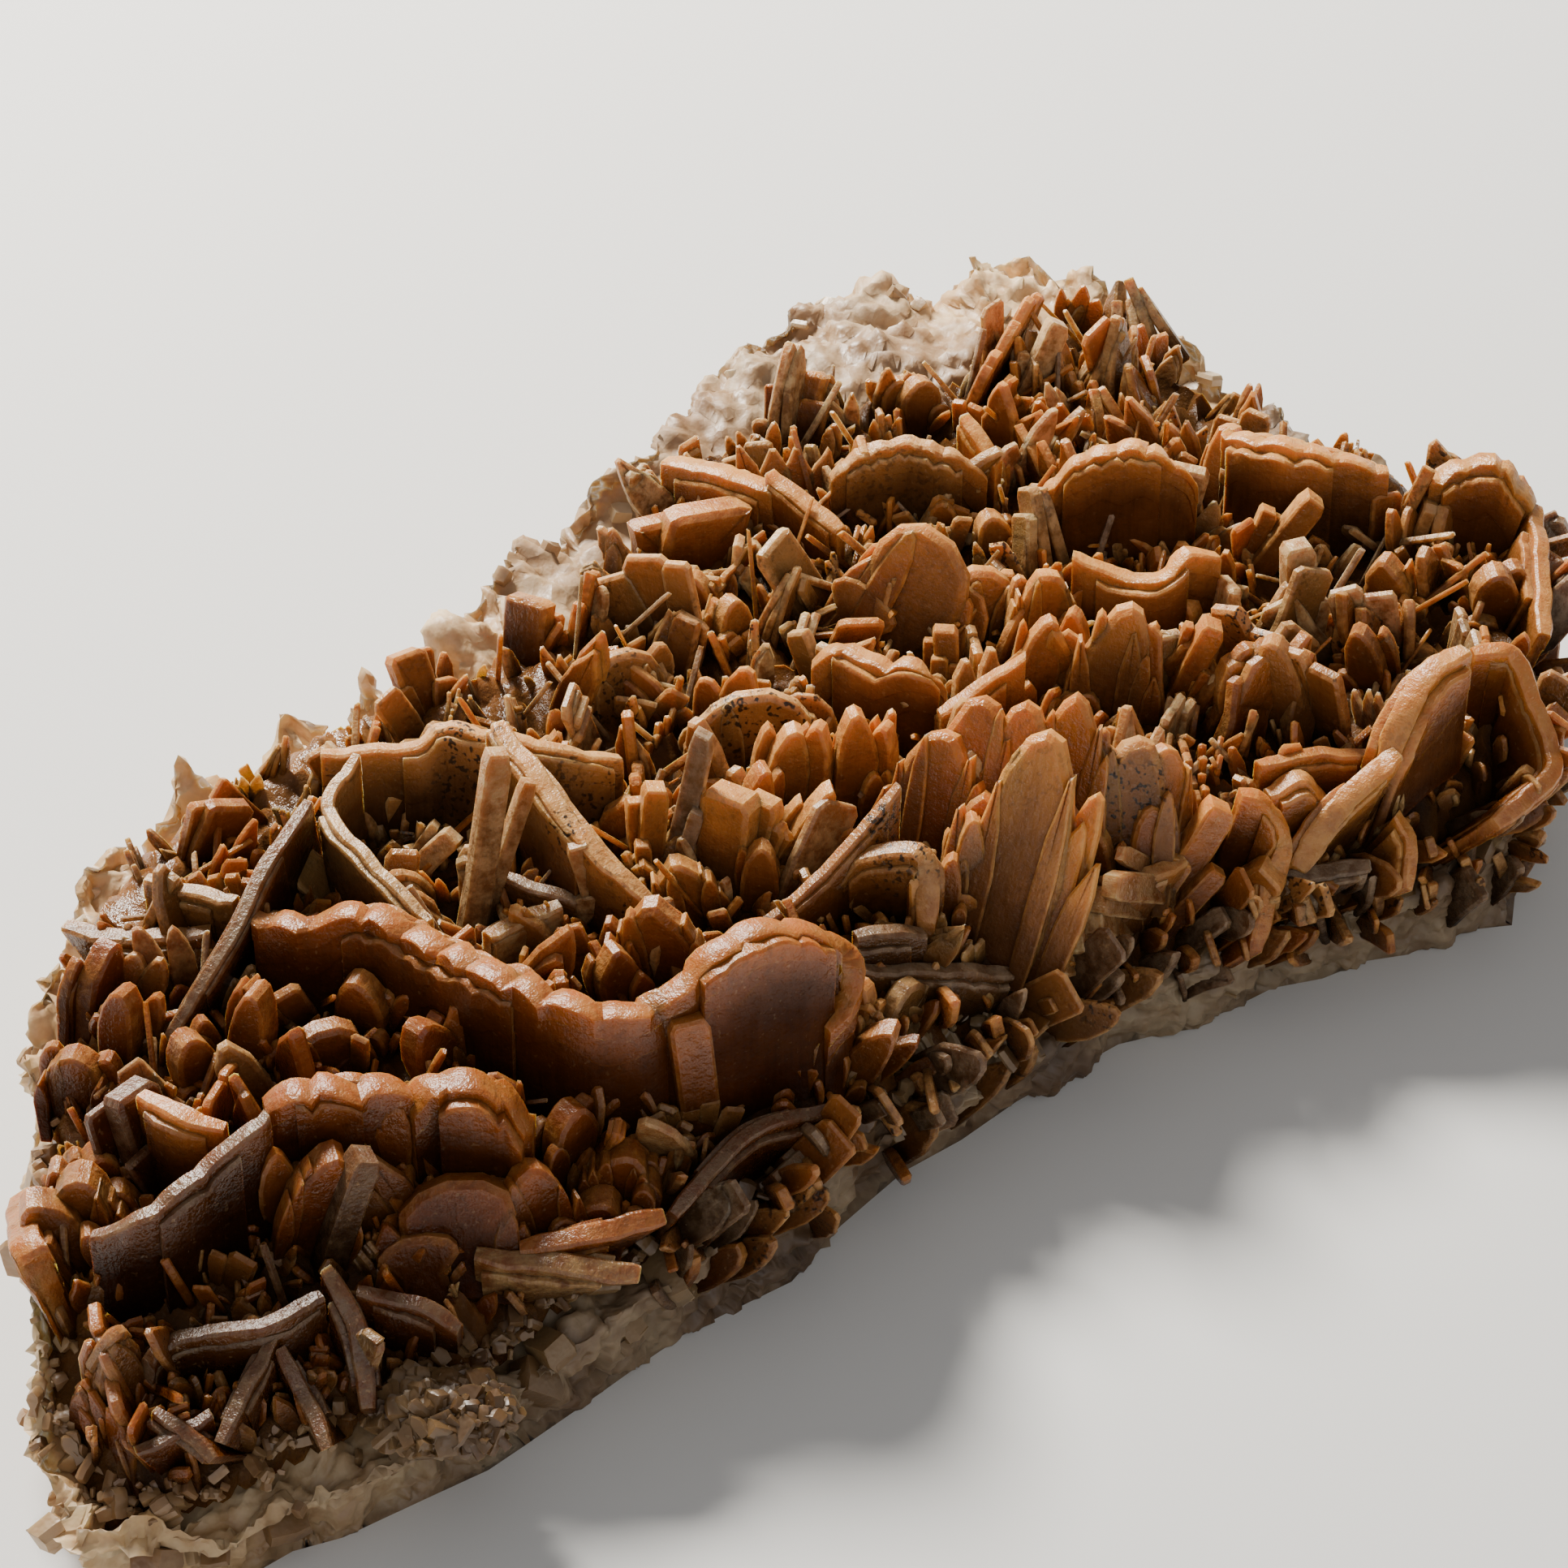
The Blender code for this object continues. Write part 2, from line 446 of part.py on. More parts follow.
def add_left_middle(bed):
    """The pale sticks and the long olive plates to the left of the middle."""
    bed.tongue(foot=(578, 1160), tip=(618, 922), rise=12.0, width=1.9, thick=1.7, turn=20, form=SQUARE)
    bed.wall(rim=((613, 887), (660, 950), (729, 1039), (801, 1106)), rise=(8.5, 7.5, 6.0, 4.0), thick=1.6, drop=7.0,
             lean=0.5)
    bed.tongue(foot=(742, 1140), tip=(712, 1035), rise=6.0, width=1.4, thick=1.4, form=SQUARE)
    bed.wall(rim=((395, 925), (460, 918), (515, 914), (546, 890), (613, 901), (690, 918), (765, 932)),
             rise=(6.0, 6.5, 6.5, 7.5, 7.0, 6.0, 4.5), thick=1.5, drop=9.5, lean=2.0)
    bed.wall(rim=((439, 928), (404, 990), (460, 1060), (529, 1133)), rise=(7.5, 6.5, 6.0, 5.0), thick=1.0, drop=6.0)
    bed.tongue(foot=(502, 1086), tip=(558, 1026), rise=3.0, width=1.4, thick=1.4, form=SQUARE)
    bed.wall(rim=((618, 1075), (665, 1092), (712, 1106)), rise=2.6, thick=1.2, drop=4.5)
    bed.wall(rim=((600, 1150), (640, 1128), (690, 1112)), rise=3.0, thick=1.6, drop=5.0)
    bed.tongue(foot=(685, 1140), tip=(745, 1096), rise=3.0, width=1.8, thick=1.2, turn=20)
    bed.tongue(foot=(815, 1215), tip=(808, 1110), rise=6.2, width=5.0, thick=1.7, turn=-10, form=POINT)
    bed.tongue(foot=(765, 1235), tip=(755, 1165), rise=4.0, width=2.6, thick=1.5, turn=20, form=POINT)
    bed.tongue(foot=(850, 1130), tip=(837, 1056), rise=4.2, width=3.4, thick=1.6, form=POINT)
    bed.tongue(foot=(800, 1080), tip=(805, 966), rise=6.2, width=1.5, thick=1.4, turn=10, form=SQUARE)
    bed.tongue(foot=(828, 1078), tip=(872, 900), rise=9.5, width=1.6, thick=1.3, turn=-10, form=SQUARE)
    bed.tongue(foot=(752, 1045), tip=(770, 980), rise=3.5, width=2.2, thick=1.2, form=POINT)
    bed.tongue(foot=(890, 1095), tip=(902, 972), rise=6.4, width=3.2, thick=2.2, turn=-25, form=SQUARE)
    bed.tongue(foot=(935, 1120), tip=(936, 1038), rise=4.5, width=2.2, thick=1.5, form=ROUND)
    bed.tongue(foot=(930, 1040), tip=(934, 943), rise=5.6, width=1.9, thick=1.5, turn=20)
    bed.tongue(foot=(965, 1010), tip=(972, 893), rise=6.5, width=2.6, thick=1.6, turn=10)
    bed.tongue(foot=(1000, 1010), tip=(1003, 888), rise=6.5, width=2.2, thick=1.4, turn=-15)
    bed.tongue(foot=(1050, 1000), tip=(1060, 872), rise=7.0, width=2.6, thick=1.6, turn=15)
    bed.tongue(foot=(1078, 990), tip=(1090, 890), rise=5.6, width=2.0, thick=1.4, turn=-20)
    bed.tongue(foot=(966, 1075), tip=(1028, 968), rise=5.6, width=1.8, thick=1.5, turn=25)
    bed.wall(rim=((930, 1142), (1000, 1085), (1060, 1020), (1107, 964)), rise=(1.5, 4.0, 6.0, 7.5), thick=1.1,
             drop=5.0, lean=0.5)
    bed.wall(rim=((1022, 1088), (1060, 1050), (1130, 1046), (1144, 1075), (1140, 1135)),
             rise=(3.5, 5.0, 5.5, 4.8, 3.0), thick=1.7, drop=6.0, lean=-0.5)
    bed.tongue(foot=(640, 800), tip=(650, 735), rise=3.4, width=3.2, thick=1.4, turn=-35, form=SQUARE)
    bed.tongue(foot=(520, 880), tip=(500, 800), rise=4.0, width=2.6, thick=1.2, turn=30, form=SQUARE)
    bed.tongue(foot=(255, 1060), tip=(280, 985), rise=4.0, width=3.0, thick=1.2, turn=35, form=SQUARE)


def add_fans(bed):
    """The big fans of stacked blades to the right of the middle."""
    bed.tongue(foot=(1140, 1070), tip=(1165, 897), rise=7.6, width=5.0, thick=1.6, turn=-15)
    bed.tongue(foot=(1180, 1070), tip=(1223, 856), rise=9.2, width=5.0, thick=1.6, turn=-12)
    bed.tongue(foot=(1232, 1080), tip=(1269, 860), rise=9.2, width=4.4, thick=1.5, turn=-8)
    bed.tongue(foot=(1300, 1060), tip=(1320, 852), rise=9.4, width=4.0, thick=1.6, turn=-5)
    bed.tongue(foot=(1232, 1170), tip=(1298, 895), rise=11.8, width=7.0, thick=2.1, turn=-8)
    bed.tongue(foot=(1385, 1085), tip=(1389, 905), rise=8.0, width=4.6, thick=2.0, turn=8)
    bed.tongue(foot=(1430, 1075), tip=(1440, 915), rise=7.6, width=3.4, thick=1.5, turn=25)
    bed.tongue(foot=(1190, 1110), tip=(1196, 1003), rise=5.6, width=1.8, thick=1.4, turn=10)
    bed.tongue(foot=(1225, 1090), tip=(1219, 997), rise=5.0, width=1.5, thick=1.2, turn=-20)
    bed.tongue(foot=(1165, 1130), tip=(1169, 1053), rise=4.0, width=1.6, thick=1.2)
    bed.tongue(foot=(1318, 1090), tip=(1314, 988), rise=5.2, width=2.6, thick=1.4, turn=15)
    bed.tongue(foot=(1350, 1100), tip=(1352, 1016), rise=4.6, width=2.2, thick=1.3, turn=-15)
    bed.tongue(foot=(1300, 1130), tip=(1296, 1060), rise=3.6, width=2.0, thick=1.3, turn=20)
    bed.wall(rim=((1157, 876), (1210, 838), (1264, 806)), rise=(4.5, 6.5, 8.0), thick=1.6, drop=7.5, lean=1.0)
    bed.wall(rim=((1000, 812), (1037, 786), (1070, 808), (1136, 812), (1160, 842)), rise=(4.5, 6.0, 5.6, 5.8, 4.0),
             thick=2.0, drop=7.0, lean=1.5)
    bed.tongue(foot=(930, 945), tip=(925, 850), rise=5.2, width=6.6, thick=1.4, turn=5, form=FAN)
    bed.tongue(foot=(1090, 790), tip=(1172, 664), rise=6.5, width=6.8, thick=1.6, turn=-5, form=FAN)
    bed.tongue(foot=(1205, 790), tip=(1216, 700), rise=4.8, width=4.2, thick=1.5, turn=10, form=FAN)
    bed.tongue(foot=(1280, 800), tip=(1294, 700), rise=5.5, width=3.6, thick=1.5, turn=15)
    bed.wall(rim=((1322, 680), (1376, 703), (1426, 708), (1463, 676), (1500, 680)), rise=(6.0, 5.0, 5.0, 6.5, 6.0),
             thick=1.8, drop=7.5, lean=1.0)
    bed.tongue(foot=(1268, 880), tip=(1294, 758), rise=6.5, width=2.6, thick=1.4, turn=15)
    bed.tongue(foot=(1318, 850), tip=(1327, 750), rise=5.6, width=2.2, thick=1.4, turn=-10)
    bed.tongue(foot=(1360, 890), tip=(1382, 742), rise=8.0, width=4.4, thick=1.5, turn=5)
    bed.tongue(foot=(1443, 870), tip=(1497, 768), rise=6.0, width=1.5, thick=1.5, turn=20, form=SQUARE)
    bed.tongue(foot=(1165, 850), tip=(1168, 772), rise=4.0, width=1.6, thick=1.4, form=SQUARE)
    bed.tongue(foot=(905, 800), tip=(900, 735), rise=3.8, width=2.4, thick=1.4, turn=30)
    bed.tongue(foot=(860, 770), tip=(850, 705), rise=3.8, width=2.6, thick=1.4, turn=-20)
    bed.tongue(foot=(775, 880), tip=(770, 800), rise=4.2, width=4.4, thick=1.4, turn=25, form=FAN)


def add_right_end(bed):
    """The arms, tall plates and steps towards the right end."""
    bed.tongue(foot=(1526, 895), tip=(1520, 808), rise=5.0, width=2.8, thick=1.6, turn=20)
    bed.tongue(foot=(1582, 900), tip=(1566, 780), rise=6.8, width=3.0, thick=1.6, turn=-15)
    bed.tongue(foot=(1600, 790), tip=(1598, 668), rise=7.0, width=1.9, thick=1.6, turn=20, form=SQUARE)
    bed.tongue(foot=(1690, 855), tip=(1675, 772), rise=5.0, width=2.4, thick=1.4, turn=-20)
    bed.wall(rim=((1550, 938), (1620, 925), (1695, 926)), rise=3.4, thick=1.4, drop=5.0)
    bed.wall(rim=((1562, 975), (1606, 955), (1636, 985)), rise=(3.6, 4.6, 3.6), thick=1.8, drop=5.5)
    bed.wall(rim=((1600, 1068), (1650, 992), (1723, 925)), rise=(3.5, 6.0, 7.0), thick=1.8, drop=6.0)
    bed.wall(rim=((1712, 925), (1735, 865), (1765, 820), (1805, 796)), rise=(6.5, 8.0, 8.6, 8.4), thick=2.0, drop=8.0,
             lean=0.5)
    bed.wall(rim=((1815, 800), (1862, 798), (1886, 845), (1912, 905), (1918, 950), (1880, 985), (1846, 1014)),
             rise=(7.0, 7.0, 6.0, 4.6, 3.6, 3.0, 2.4), thick=1.5, drop=8.0, lean=-1.5)
    bed.wall(rim=((1723, 1000), (1745, 1040), (1737, 1095)), rise=(3.5, 2.0, 0.5), thick=1.4, drop=5.0)
    bed.wall(rim=((1586, 1080), (1640, 1070), (1690, 1064)), rise=(3.0, 3.2, 3.0), thick=1.5, drop=5.5)
    bed.wall(rim=((1530, 975), (1560, 985), (1586, 1032), (1568, 1100), (1552, 1170)),
             rise=(7.6, 7.2, 5.4, 2.4, -0.6), thick=1.6, drop=6.5)
    bed.tongue(foot=(1441, 1110), tip=(1510, 990), rise=6.5, width=1.9, thick=1.5, turn=30, form=SQUARE)
    bed.wall(rim=((1461, 1055), (1400, 1080), (1362, 1108), (1335, 1150), (1300, 1190)),
             rise=(4.6, 4.6, 4.2, 3.4, 2.2), thick=1.8, drop=6.0, lean=0.5)
    bed.tongue(foot=(1590, 1140), tip=(1574, 1075), rise=3.8, width=2.4, thick=1.4, turn=25, form=SQUARE)
    bed.tongue(foot=(1622, 1130), tip=(1652, 1085), rise=2.6, width=2.2, thick=1.4, turn=30)
    bed.wall(rim=((1054, 1150), (1100, 1142), (1139, 1146)), rise=2.8, thick=1.4, drop=5.0)
    bed.wall(rim=((1058, 1190), (1157, 1190), (1250, 1196)), rise=(2.2, 2.4, 2.0), thick=1.4, drop=4.5)
    bed.tongue(foot=(1068, 1350), tip=(1097, 1260), rise=5.0, width=2.2, thick=1.6, turn=10)
    bed.tongue(foot=(1041, 1265), tip=(1070, 1212), rise=3.2, width=2.2, thick=1.3, turn=-10)
    bed.tongue(foot=(1115, 1290), tip=(1122, 1205), rise=4.0, width=3.2, thick=1.2, turn=65, form=FAN)
    bed.tongue(foot=(1840, 760), tip=(1843, 700), rise=4.0, width=3.0, thick=1.8, turn=15)
    bed.tongue(foot=(1711, 750), tip=(1712, 686), rise=4.0, width=3.0, thick=1.6, turn=-20, form=POINT)
    bed.tongue(foot=(1450, 790), tip=(1462, 735), rise=3.4, width=2.4, thick=1.4, turn=-25)


def add_far_plates(bed):
    """The paler plates, arches and sticks towards the far end."""
    bed.wall(rim=((819, 563), (890, 575), (957, 600)), rise=(4.0, 4.2, 4.0), thick=2.2, drop=6.0, lean=1.0)
    bed.tongue(foot=(865, 690), tip=(862, 625), rise=3.8, width=5.6, thick=2.4, turn=15, form=SQUARE)
    bed.wall(rim=((950, 578), (992, 612), (1036, 650)), rise=(5.0, 4.0, 3.0), thick=1.7, drop=5.5)
    bed.wall(rim=((1023, 584), (1062, 552), (1115, 540), (1170, 552), (1214, 580)), rise=(4.0, 6.0, 6.6, 6.0, 4.0),
             thick=1.6, drop=8.0, lean=0.5)
    bed.wall(rim=((1189, 508), (1210, 540), (1230, 568)), rise=(6.5, 5.5, 4.5), thick=1.4, drop=7.0)
    bed.tongue(foot=(1258, 495), tip=(1309, 396), rise=5.5, width=1.6, thick=1.4, turn=25, form=SQUARE)
    bed.tongue(foot=(1335, 480), tip=(1383, 415), rise=4.0, width=1.7, thick=1.4, turn=20, form=SQUARE)
    bed.tongue(foot=(1161, 660), tip=(1163, 612), rise=3.0, width=2.0, thick=1.8)
    bed.tongue(foot=(1225, 690), tip=(1223, 630), rise=3.6, width=2.6, thick=1.6, turn=15)
    bed.wall(rim=((1283, 600), (1330, 558), (1394, 542), (1440, 556), (1472, 592)), rise=(5.0, 7.4, 8.4, 7.6, 5.0),
             thick=1.9, drop=9.5, lean=1.0)
    bed.wall(rim=((1511, 526), (1580, 538), (1650, 555), (1711, 576)), rise=(6.5, 7.0, 6.5, 5.0), thick=2.2, drop=8.5,
             lean=1.5)
    bed.tongue(foot=(1546, 708), tip=(1622, 612), rise=5.5, width=1.7, thick=1.6, turn=20, form=SQUARE)
    bed.wall(rim=((1759, 585), (1805, 566), (1852, 566), (1894, 617)), rise=(5.5, 6.5, 6.5, 4.5), thick=2.4, drop=8.0,
             lean=1.0)
    bed.wall(rim=((1896, 620), (1903, 700), (1905, 780)), rise=(4.0, 3.4, 3.0), thick=1.4, drop=6.0)
    bed.tongue(foot=(1500, 640), tip=(1520, 520), rise=6.5, width=3.0, thick=1.5, turn=-25)
    bed.tongue(foot=(1130, 520), tip=(1136, 465), rise=3.2, width=3.0, thick=1.6, turn=25)
    bed.tongue(foot=(960, 520), tip=(985, 455), rise=3.6, width=3.4, thick=1.5, turn=-15, form=SQUARE)


def add_small_crystals(bed, rng, count=34, spacing=6.4):
    """Short blades in the gaps, turned every way, as they fill the crust between the large ones."""
    loop = [(float(x), float(y)) for x, y in BED_PLAN]
    placed = []
    while len(placed) < count:
        x, y = rng.uniform(-60, 56), rng.uniform(-34, 32)
        apart = all((x - px) ** 2 + (y - py) ** 2 > spacing ** 2 for px, py in placed)
        if not apart or not inside((x, y), loop) or distance_to((x, y), loop) < 2.5:
            continue
        placed.append((x, y))
        foot = Vector((x, y, crust_height(x, y)))
        lean = rng.uniform(0.1, 0.7)
        heading = rng.uniform(0.0, 2.0 * math.pi)
        reach = Vector((lean * math.cos(heading), lean * math.sin(heading), 1.0)).normalized()
        tip = foot + reach * rng.uniform(3.4, 6.4)
        form = rng.choice((ROUND, SQUARE, POINT, FAN))
        bed.blade(foot, tip, rng.uniform(2.6, 5.2), rng.uniform(1.1, 1.7), rng.uniform(0.0, 180.0), form)


def make_crystals(rng):
    """Every blade and plate as closed shells that grow through each other."""
    bed = Crystals()
    add_front_plates(bed)
    add_near_end(bed)
    add_left_middle(bed)
    add_fans(bed)
    add_right_end(bed)
    add_far_plates(bed)
    add_small_crystals(bed, rng)
    shells = make_object("crystal_shells", bed.vertices, bed.faces)
    shells.hide_render = True
    shells.display_type = 'WIRE'
    return shells


def join(target, other, operation):
    """Boolean of two closed meshes, kept as a modifier."""
    step = target.modifiers.new(operation.lower(), 'BOOLEAN')
    step.operation = operation
    step.solver = 'EXACT'
    step.use_self = operation == 'UNION'
    step.object = other


def merge_flat_facets(target):
    """Merges facets that lie in one plane, which the joins left split."""
    step = target.modifiers.new("merge flat facets", 'DECIMATE')
    step.decimate_type = 'DISSOLVE'
    step.angle_limit = math.radians(FLAT_ANGLE)


def main():
    clear_scene()
    rng = random.Random(11)
    ground = Ground(rng)
    make_matrix(ground, rng)
    crust = make_crust(ground)
    join(crust, make_crystals(rng), 'UNION')
    join(crust, make_underside(ground), 'DIFFERENCE')
    merge_flat_facets(crust)


main()
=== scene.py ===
"""Looks of the barite specimen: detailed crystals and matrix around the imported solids.

Lengths are in millimetres until a mesh is made. The large crystals stand where the solids' crystals
stand: they are placed by the pixel of the 1932 by 1932 photograph that shows them, on the same crust.
The small ones are placed at random, with fixed seeds.
"""

import math
import random

import bmesh
import bpy
import numpy as np
from mathutils import Matrix, Vector, noise
from mathutils.bvhtree import BVHTree


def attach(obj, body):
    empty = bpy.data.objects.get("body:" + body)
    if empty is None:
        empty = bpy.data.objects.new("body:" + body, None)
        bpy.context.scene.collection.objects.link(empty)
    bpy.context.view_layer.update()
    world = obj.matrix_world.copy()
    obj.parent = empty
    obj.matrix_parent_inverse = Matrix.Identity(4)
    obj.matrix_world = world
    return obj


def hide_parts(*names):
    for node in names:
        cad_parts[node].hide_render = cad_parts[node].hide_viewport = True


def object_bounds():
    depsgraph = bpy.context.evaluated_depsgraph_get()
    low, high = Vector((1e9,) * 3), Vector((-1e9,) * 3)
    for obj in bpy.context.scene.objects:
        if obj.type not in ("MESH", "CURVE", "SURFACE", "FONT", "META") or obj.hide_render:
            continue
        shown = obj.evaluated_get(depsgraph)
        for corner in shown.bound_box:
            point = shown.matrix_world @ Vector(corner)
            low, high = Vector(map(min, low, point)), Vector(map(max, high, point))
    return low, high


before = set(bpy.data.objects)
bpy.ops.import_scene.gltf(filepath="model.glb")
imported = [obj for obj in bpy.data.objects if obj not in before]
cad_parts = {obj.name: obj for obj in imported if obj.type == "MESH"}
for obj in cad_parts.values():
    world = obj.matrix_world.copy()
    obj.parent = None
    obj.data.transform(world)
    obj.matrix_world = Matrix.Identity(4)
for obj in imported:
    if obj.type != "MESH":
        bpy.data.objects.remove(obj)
cad_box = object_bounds()

MM = 0.001

# The crust and the bed, as in the solids
BED_LEVEL = 12.2
NEAR_END_DROP = 3.4
FRONT_DROP = 5.4
FRONT_FOLD = 6.5
NEAR_FOLD = 7.0
FRONT_POINTS = 14
SINK = 1.8                  # how deep a crystal's foot reaches into the crust
ROOT_MARGIN = 0.9           # how far inside the bed's edge every foot stands
SPINE_Y = 3.0               # the bed's middle line, towards which a foot is moved

FULL_GLOW = 8.0             # height above the crust from which a crystal has its full painted glow; lower down it is painted darker as shade
GLOW_DEPTH = 3.6            # how far below its rim a plate has painted glow, fading to painted shade further down
BASE_FACE = 0.05            # what lies below this is the matrix's flat underside
SHOULDERED = 3.1            # blades at least this wide carry narrow ones along their sides
SHOULDERS = 6               # how many such narrow blades
RIM_SPACING = 0.42          # between the points along a plate's rim
PLATE_SLIMMING = 0.78       # thickness of a shown plate against the solid's
BOX_MARGIN = 2e-5           # metres that every point keeps inside the solids' box
CRUST_STEP = 0.62           # between the crust's points
CRUST_CORNER = (-62.5, -35.0)
CRUST_SIZE = (120, 70)
MATRIX_CUTS = 11            # cuts along each edge of the matrix's shown faces
SMOOTHED_ABOVE = 0.4        # height from which the matrix's first cuts are evened out

# How many small blades stand in sheaves, and their least and greatest size
MEDIUM_SHEAVES = (620, (3.2, 6.0))
SMALL_SHEAVES = (1900, (1.6, 3.4))
NEAR_SHEAVES = (420, (0.9, 2.3))

# Greatest X of a small crystal: on the whole bed, and at the near end only
FAR_END = 57.0
NEAR_END = -40.0

NEEDLES, SKIRT_BLADES = 300, 190
LOOSE_GRAINS, SEAM_GRAINS, SUGAR_GRAINS = 160, 560, 330

# Studio: place in metres, size, power and colour of each light
KEY = ((0.20, 0.33, 0.38), 0.16, 9.3, (1.0, 0.95, 0.87))
FILL = ((-0.45, -0.35, 0.40), 0.50, 0.7, (0.96, 0.97, 1.0))
AIM = Vector((0.0, 0.0, 0.012))
AMBIENT = 0.31

# The photograph's viewpoint
EYE = Vector((-152.8, -84.2, 147.8))
HEADING = math.radians(30.0)
DIP = math.radians(37.86)
FOCAL_PIXELS = 4600.0
MIDDLE_PIXEL = 966.0
FRAME_PIXELS = 1932.0
SENSOR = 36.0

MATRIX_PLAN = (
    (-64, 8), (-60, 2), (-54, -1), (-47, -5), (-41, -7), (-34, -9), (-27, -12), (-17, -14),
    (-8, -17), (0, -20), (6, -24), (12, -28), (17, -32), (22, -35), (28, -34), (36, -31),
    (44, -27), (48, -23), (51, -16), (54, -8), (57, 0), (61, 9), (64, 18), (61, 22), (56, 24),
    (51, 30), (44, 32), (36, 31), (26, 30), (19, 32), (12, 31), (4, 30), (-2, 31), (-6, 33),
    (-14, 35), (-22, 36), (-29, 35), (-36, 32), (-42, 28), (-49, 22), (-55, 17), (-61, 13))
BED_PLAN = (
    (-61, 8), (-57, 4), (-51, 1), (-44, -3), (-38, -5), (-30, -8), (-24, -10.5), (-15, -12.5),
    (-7, -15.5), (2, -19.5), (9, -24), (16, -29), (23, -32.5), (31, -31), (38, -28), (44, -24.5),
    (47, -19), (48, -13), (47, -6), (50, 0), (55, 7), (56, 12), (47, 13), (40, 17), (35, 20.5),
    (30, 24), (24, 26), (14, 24), (5, 22.5), (0, 25), (-6, 27.5), (-11, 30), (-17, 31), (-25, 32),
    (-31, 31.5), (-38, 27.5), (-45, 23), (-52, 17.5), (-58, 13))

# The bed's edge along the bare rim at the back
BACK_EDGE = BED_PLAN[29:38]
BACK_REACH = 8.0

# The bed's edge around the near end, where the crust thins out on the bare matrix
NEAR_SEAM = BED_PLAN[36:] + BED_PLAN[:9]

# The grid on which the crust's height is looked up
LEVEL_STEP = 1.5
LEVEL_CORNER = (-66.0, -39.0)
LEVEL_COUNTS = (90, 53)

# The sugary mass at the near end: its middle in the photograph, and its half width and half height there
SUGAR = (545.0, 1738.0, 88.0, 52.0)

# Outlines of a blade's face: across from -0.5 to 0.5 of its width, up from 0 to 1 of its length
ROUND = ((-0.42, 0), (-0.5, 0.34), (-0.48, 0.56), (-0.37, 0.78), (-0.17, 0.95), (0.02, 1), (0.2, 0.96),
         (0.38, 0.79), (0.49, 0.55), (0.5, 0.34), (0.42, 0))
POINT = ((-0.45, 0), (-0.5, 0.4), (-0.44, 0.66), (-0.12, 0.98), (0.04, 1), (0.36, 0.72), (0.5, 0.45),
         (0.45, 0))
SQUARE = ((-0.5, 0), (-0.5, 0.93), (-0.38, 1), (0.34, 0.99), (0.5, 0.9), (0.5, 0))
FAN = ((-0.3, 0), (-0.5, 0.5), (-0.5, 0.7), (-0.38, 0.88), (-0.16, 1), (0.15, 1), (0.4, 0.86), (0.5, 0.66),
       (0.5, 0.45), (0.3, 0))
LEAF = ((-0.26, 0), (-0.48, 0.42), (-0.42, 0.74), (-0.14, 1), (0.1, 1), (0.4, 0.78), (0.5, 0.42), (0.26, 0))

# Finishes of a crystal: how olive its body is, how frosted its rim is (amber at 0, straw-coloured at 0.5
# and drab at 1), how speckled it is, and how strongly the rim's coat covers the rest of it
AMBER = (0.0, 0.0, 0.12, 0.0)
GOLD = (0.45, 0.2, 0.4, 0.0)
OLIVE = (1.0, 0.3, 0.35, 0.0)
SPECKLED = (0.6, 0.15, 1.0, 0.0)
FROST = (0.8, 1.0, 0.1, 0.0)
STICK = (0.8, 1.0, 0.05, 0.75)
RIMMED = (0.12, 1.0, 0.1, 0.0)
PALE = (0.5, 0.5, 0.05, 0.8)
# TIPPED: pale tips, partly their own colour and partly painted highlights
TIPPED = (0.2, 0.5, 0.1, 0.35)


def smooth(value):
    """Eases from 0 to 1 while the value goes from 0 to 1, and stays level outside."""
    t = min(max(value, 0.0), 1.0)
    return t * t * (3.0 - 2.0 * t)


def waves(x, y):
    """The crust's gentle rise and fall, between about -1 and 1."""
    broad = math.sin(0.21 * x + 1.3) * math.cos(0.26 * y + 0.4)
    fine = math.sin(0.57 * x - 0.33 * y) * math.cos(0.49 * y + 0.21 * x + 2.0)
    return 0.6 * broad + 0.45 * fine


def inside(point, loop):
    """Whether the point lies within this closed outline, seen from above."""
    x, y = point[0], point[1]
    hit = False
    for (ax, ay), (bx, by) in zip(loop, loop[1:] + loop[:1]):
        if (ay > y) != (by > y) and x < (bx - ax) * (y - ay) / (by - ay) + ax:
            hit = not hit
    return hit


def nearest_on(point, line, closed=True):
    """How far the line is from the point, and where on it that is."""
    px, py = point[0], point[1]
    best = (math.inf, px, py)
    for (ax, ay), (bx, by) in zip(line, line[1:] + line[:1] if closed else line[1:]):
        dx, dy = bx - ax, by - ay
        t = min(max(((px - ax) * dx + (py - ay) * dy) / (dx * dx + dy * dy), 0.0), 1.0)
        apart = math.hypot(px - ax - t * dx, py - ay - t * dy)
        if apart < best[0]:
            best = (apart, ax + t * dx, ay + t * dy)
    return best


def distance_to(point, line, closed=True):
    return nearest_on(point, line, closed)[0]


def crust_height(x, y):
    """Height of the crust's upper face, which folds down along the front edge."""
    inward = distance_to((x, y), MATRIX_PLAN[:FRONT_POINTS], False) if inside((x, y), MATRIX_PLAN) else 0.0
    near = smooth((-12.0 - x) / 30.0)
    level = BED_LEVEL - NEAR_END_DROP * smooth((-28.0 - x) / 36.0)
    drop = FRONT_DROP * (1.0 - 0.55 * smooth((x - 10.0) / 14.0) - 0.25 * near)
    level -= drop * smooth(1.0 - inward / (FRONT_FOLD + NEAR_FOLD * near))
    return level + 0.7 * waves(x, y)


def view_axes():
    """The directions right, up and forward of the photograph's camera."""
    forward = Vector((math.cos(DIP) * math.cos(HEADING), math.cos(DIP) * math.sin(HEADING), -math.sin(DIP)))
    right = Vector((math.sin(HEADING), -math.cos(HEADING), 0.0))
    return right, right.cross(forward), forward


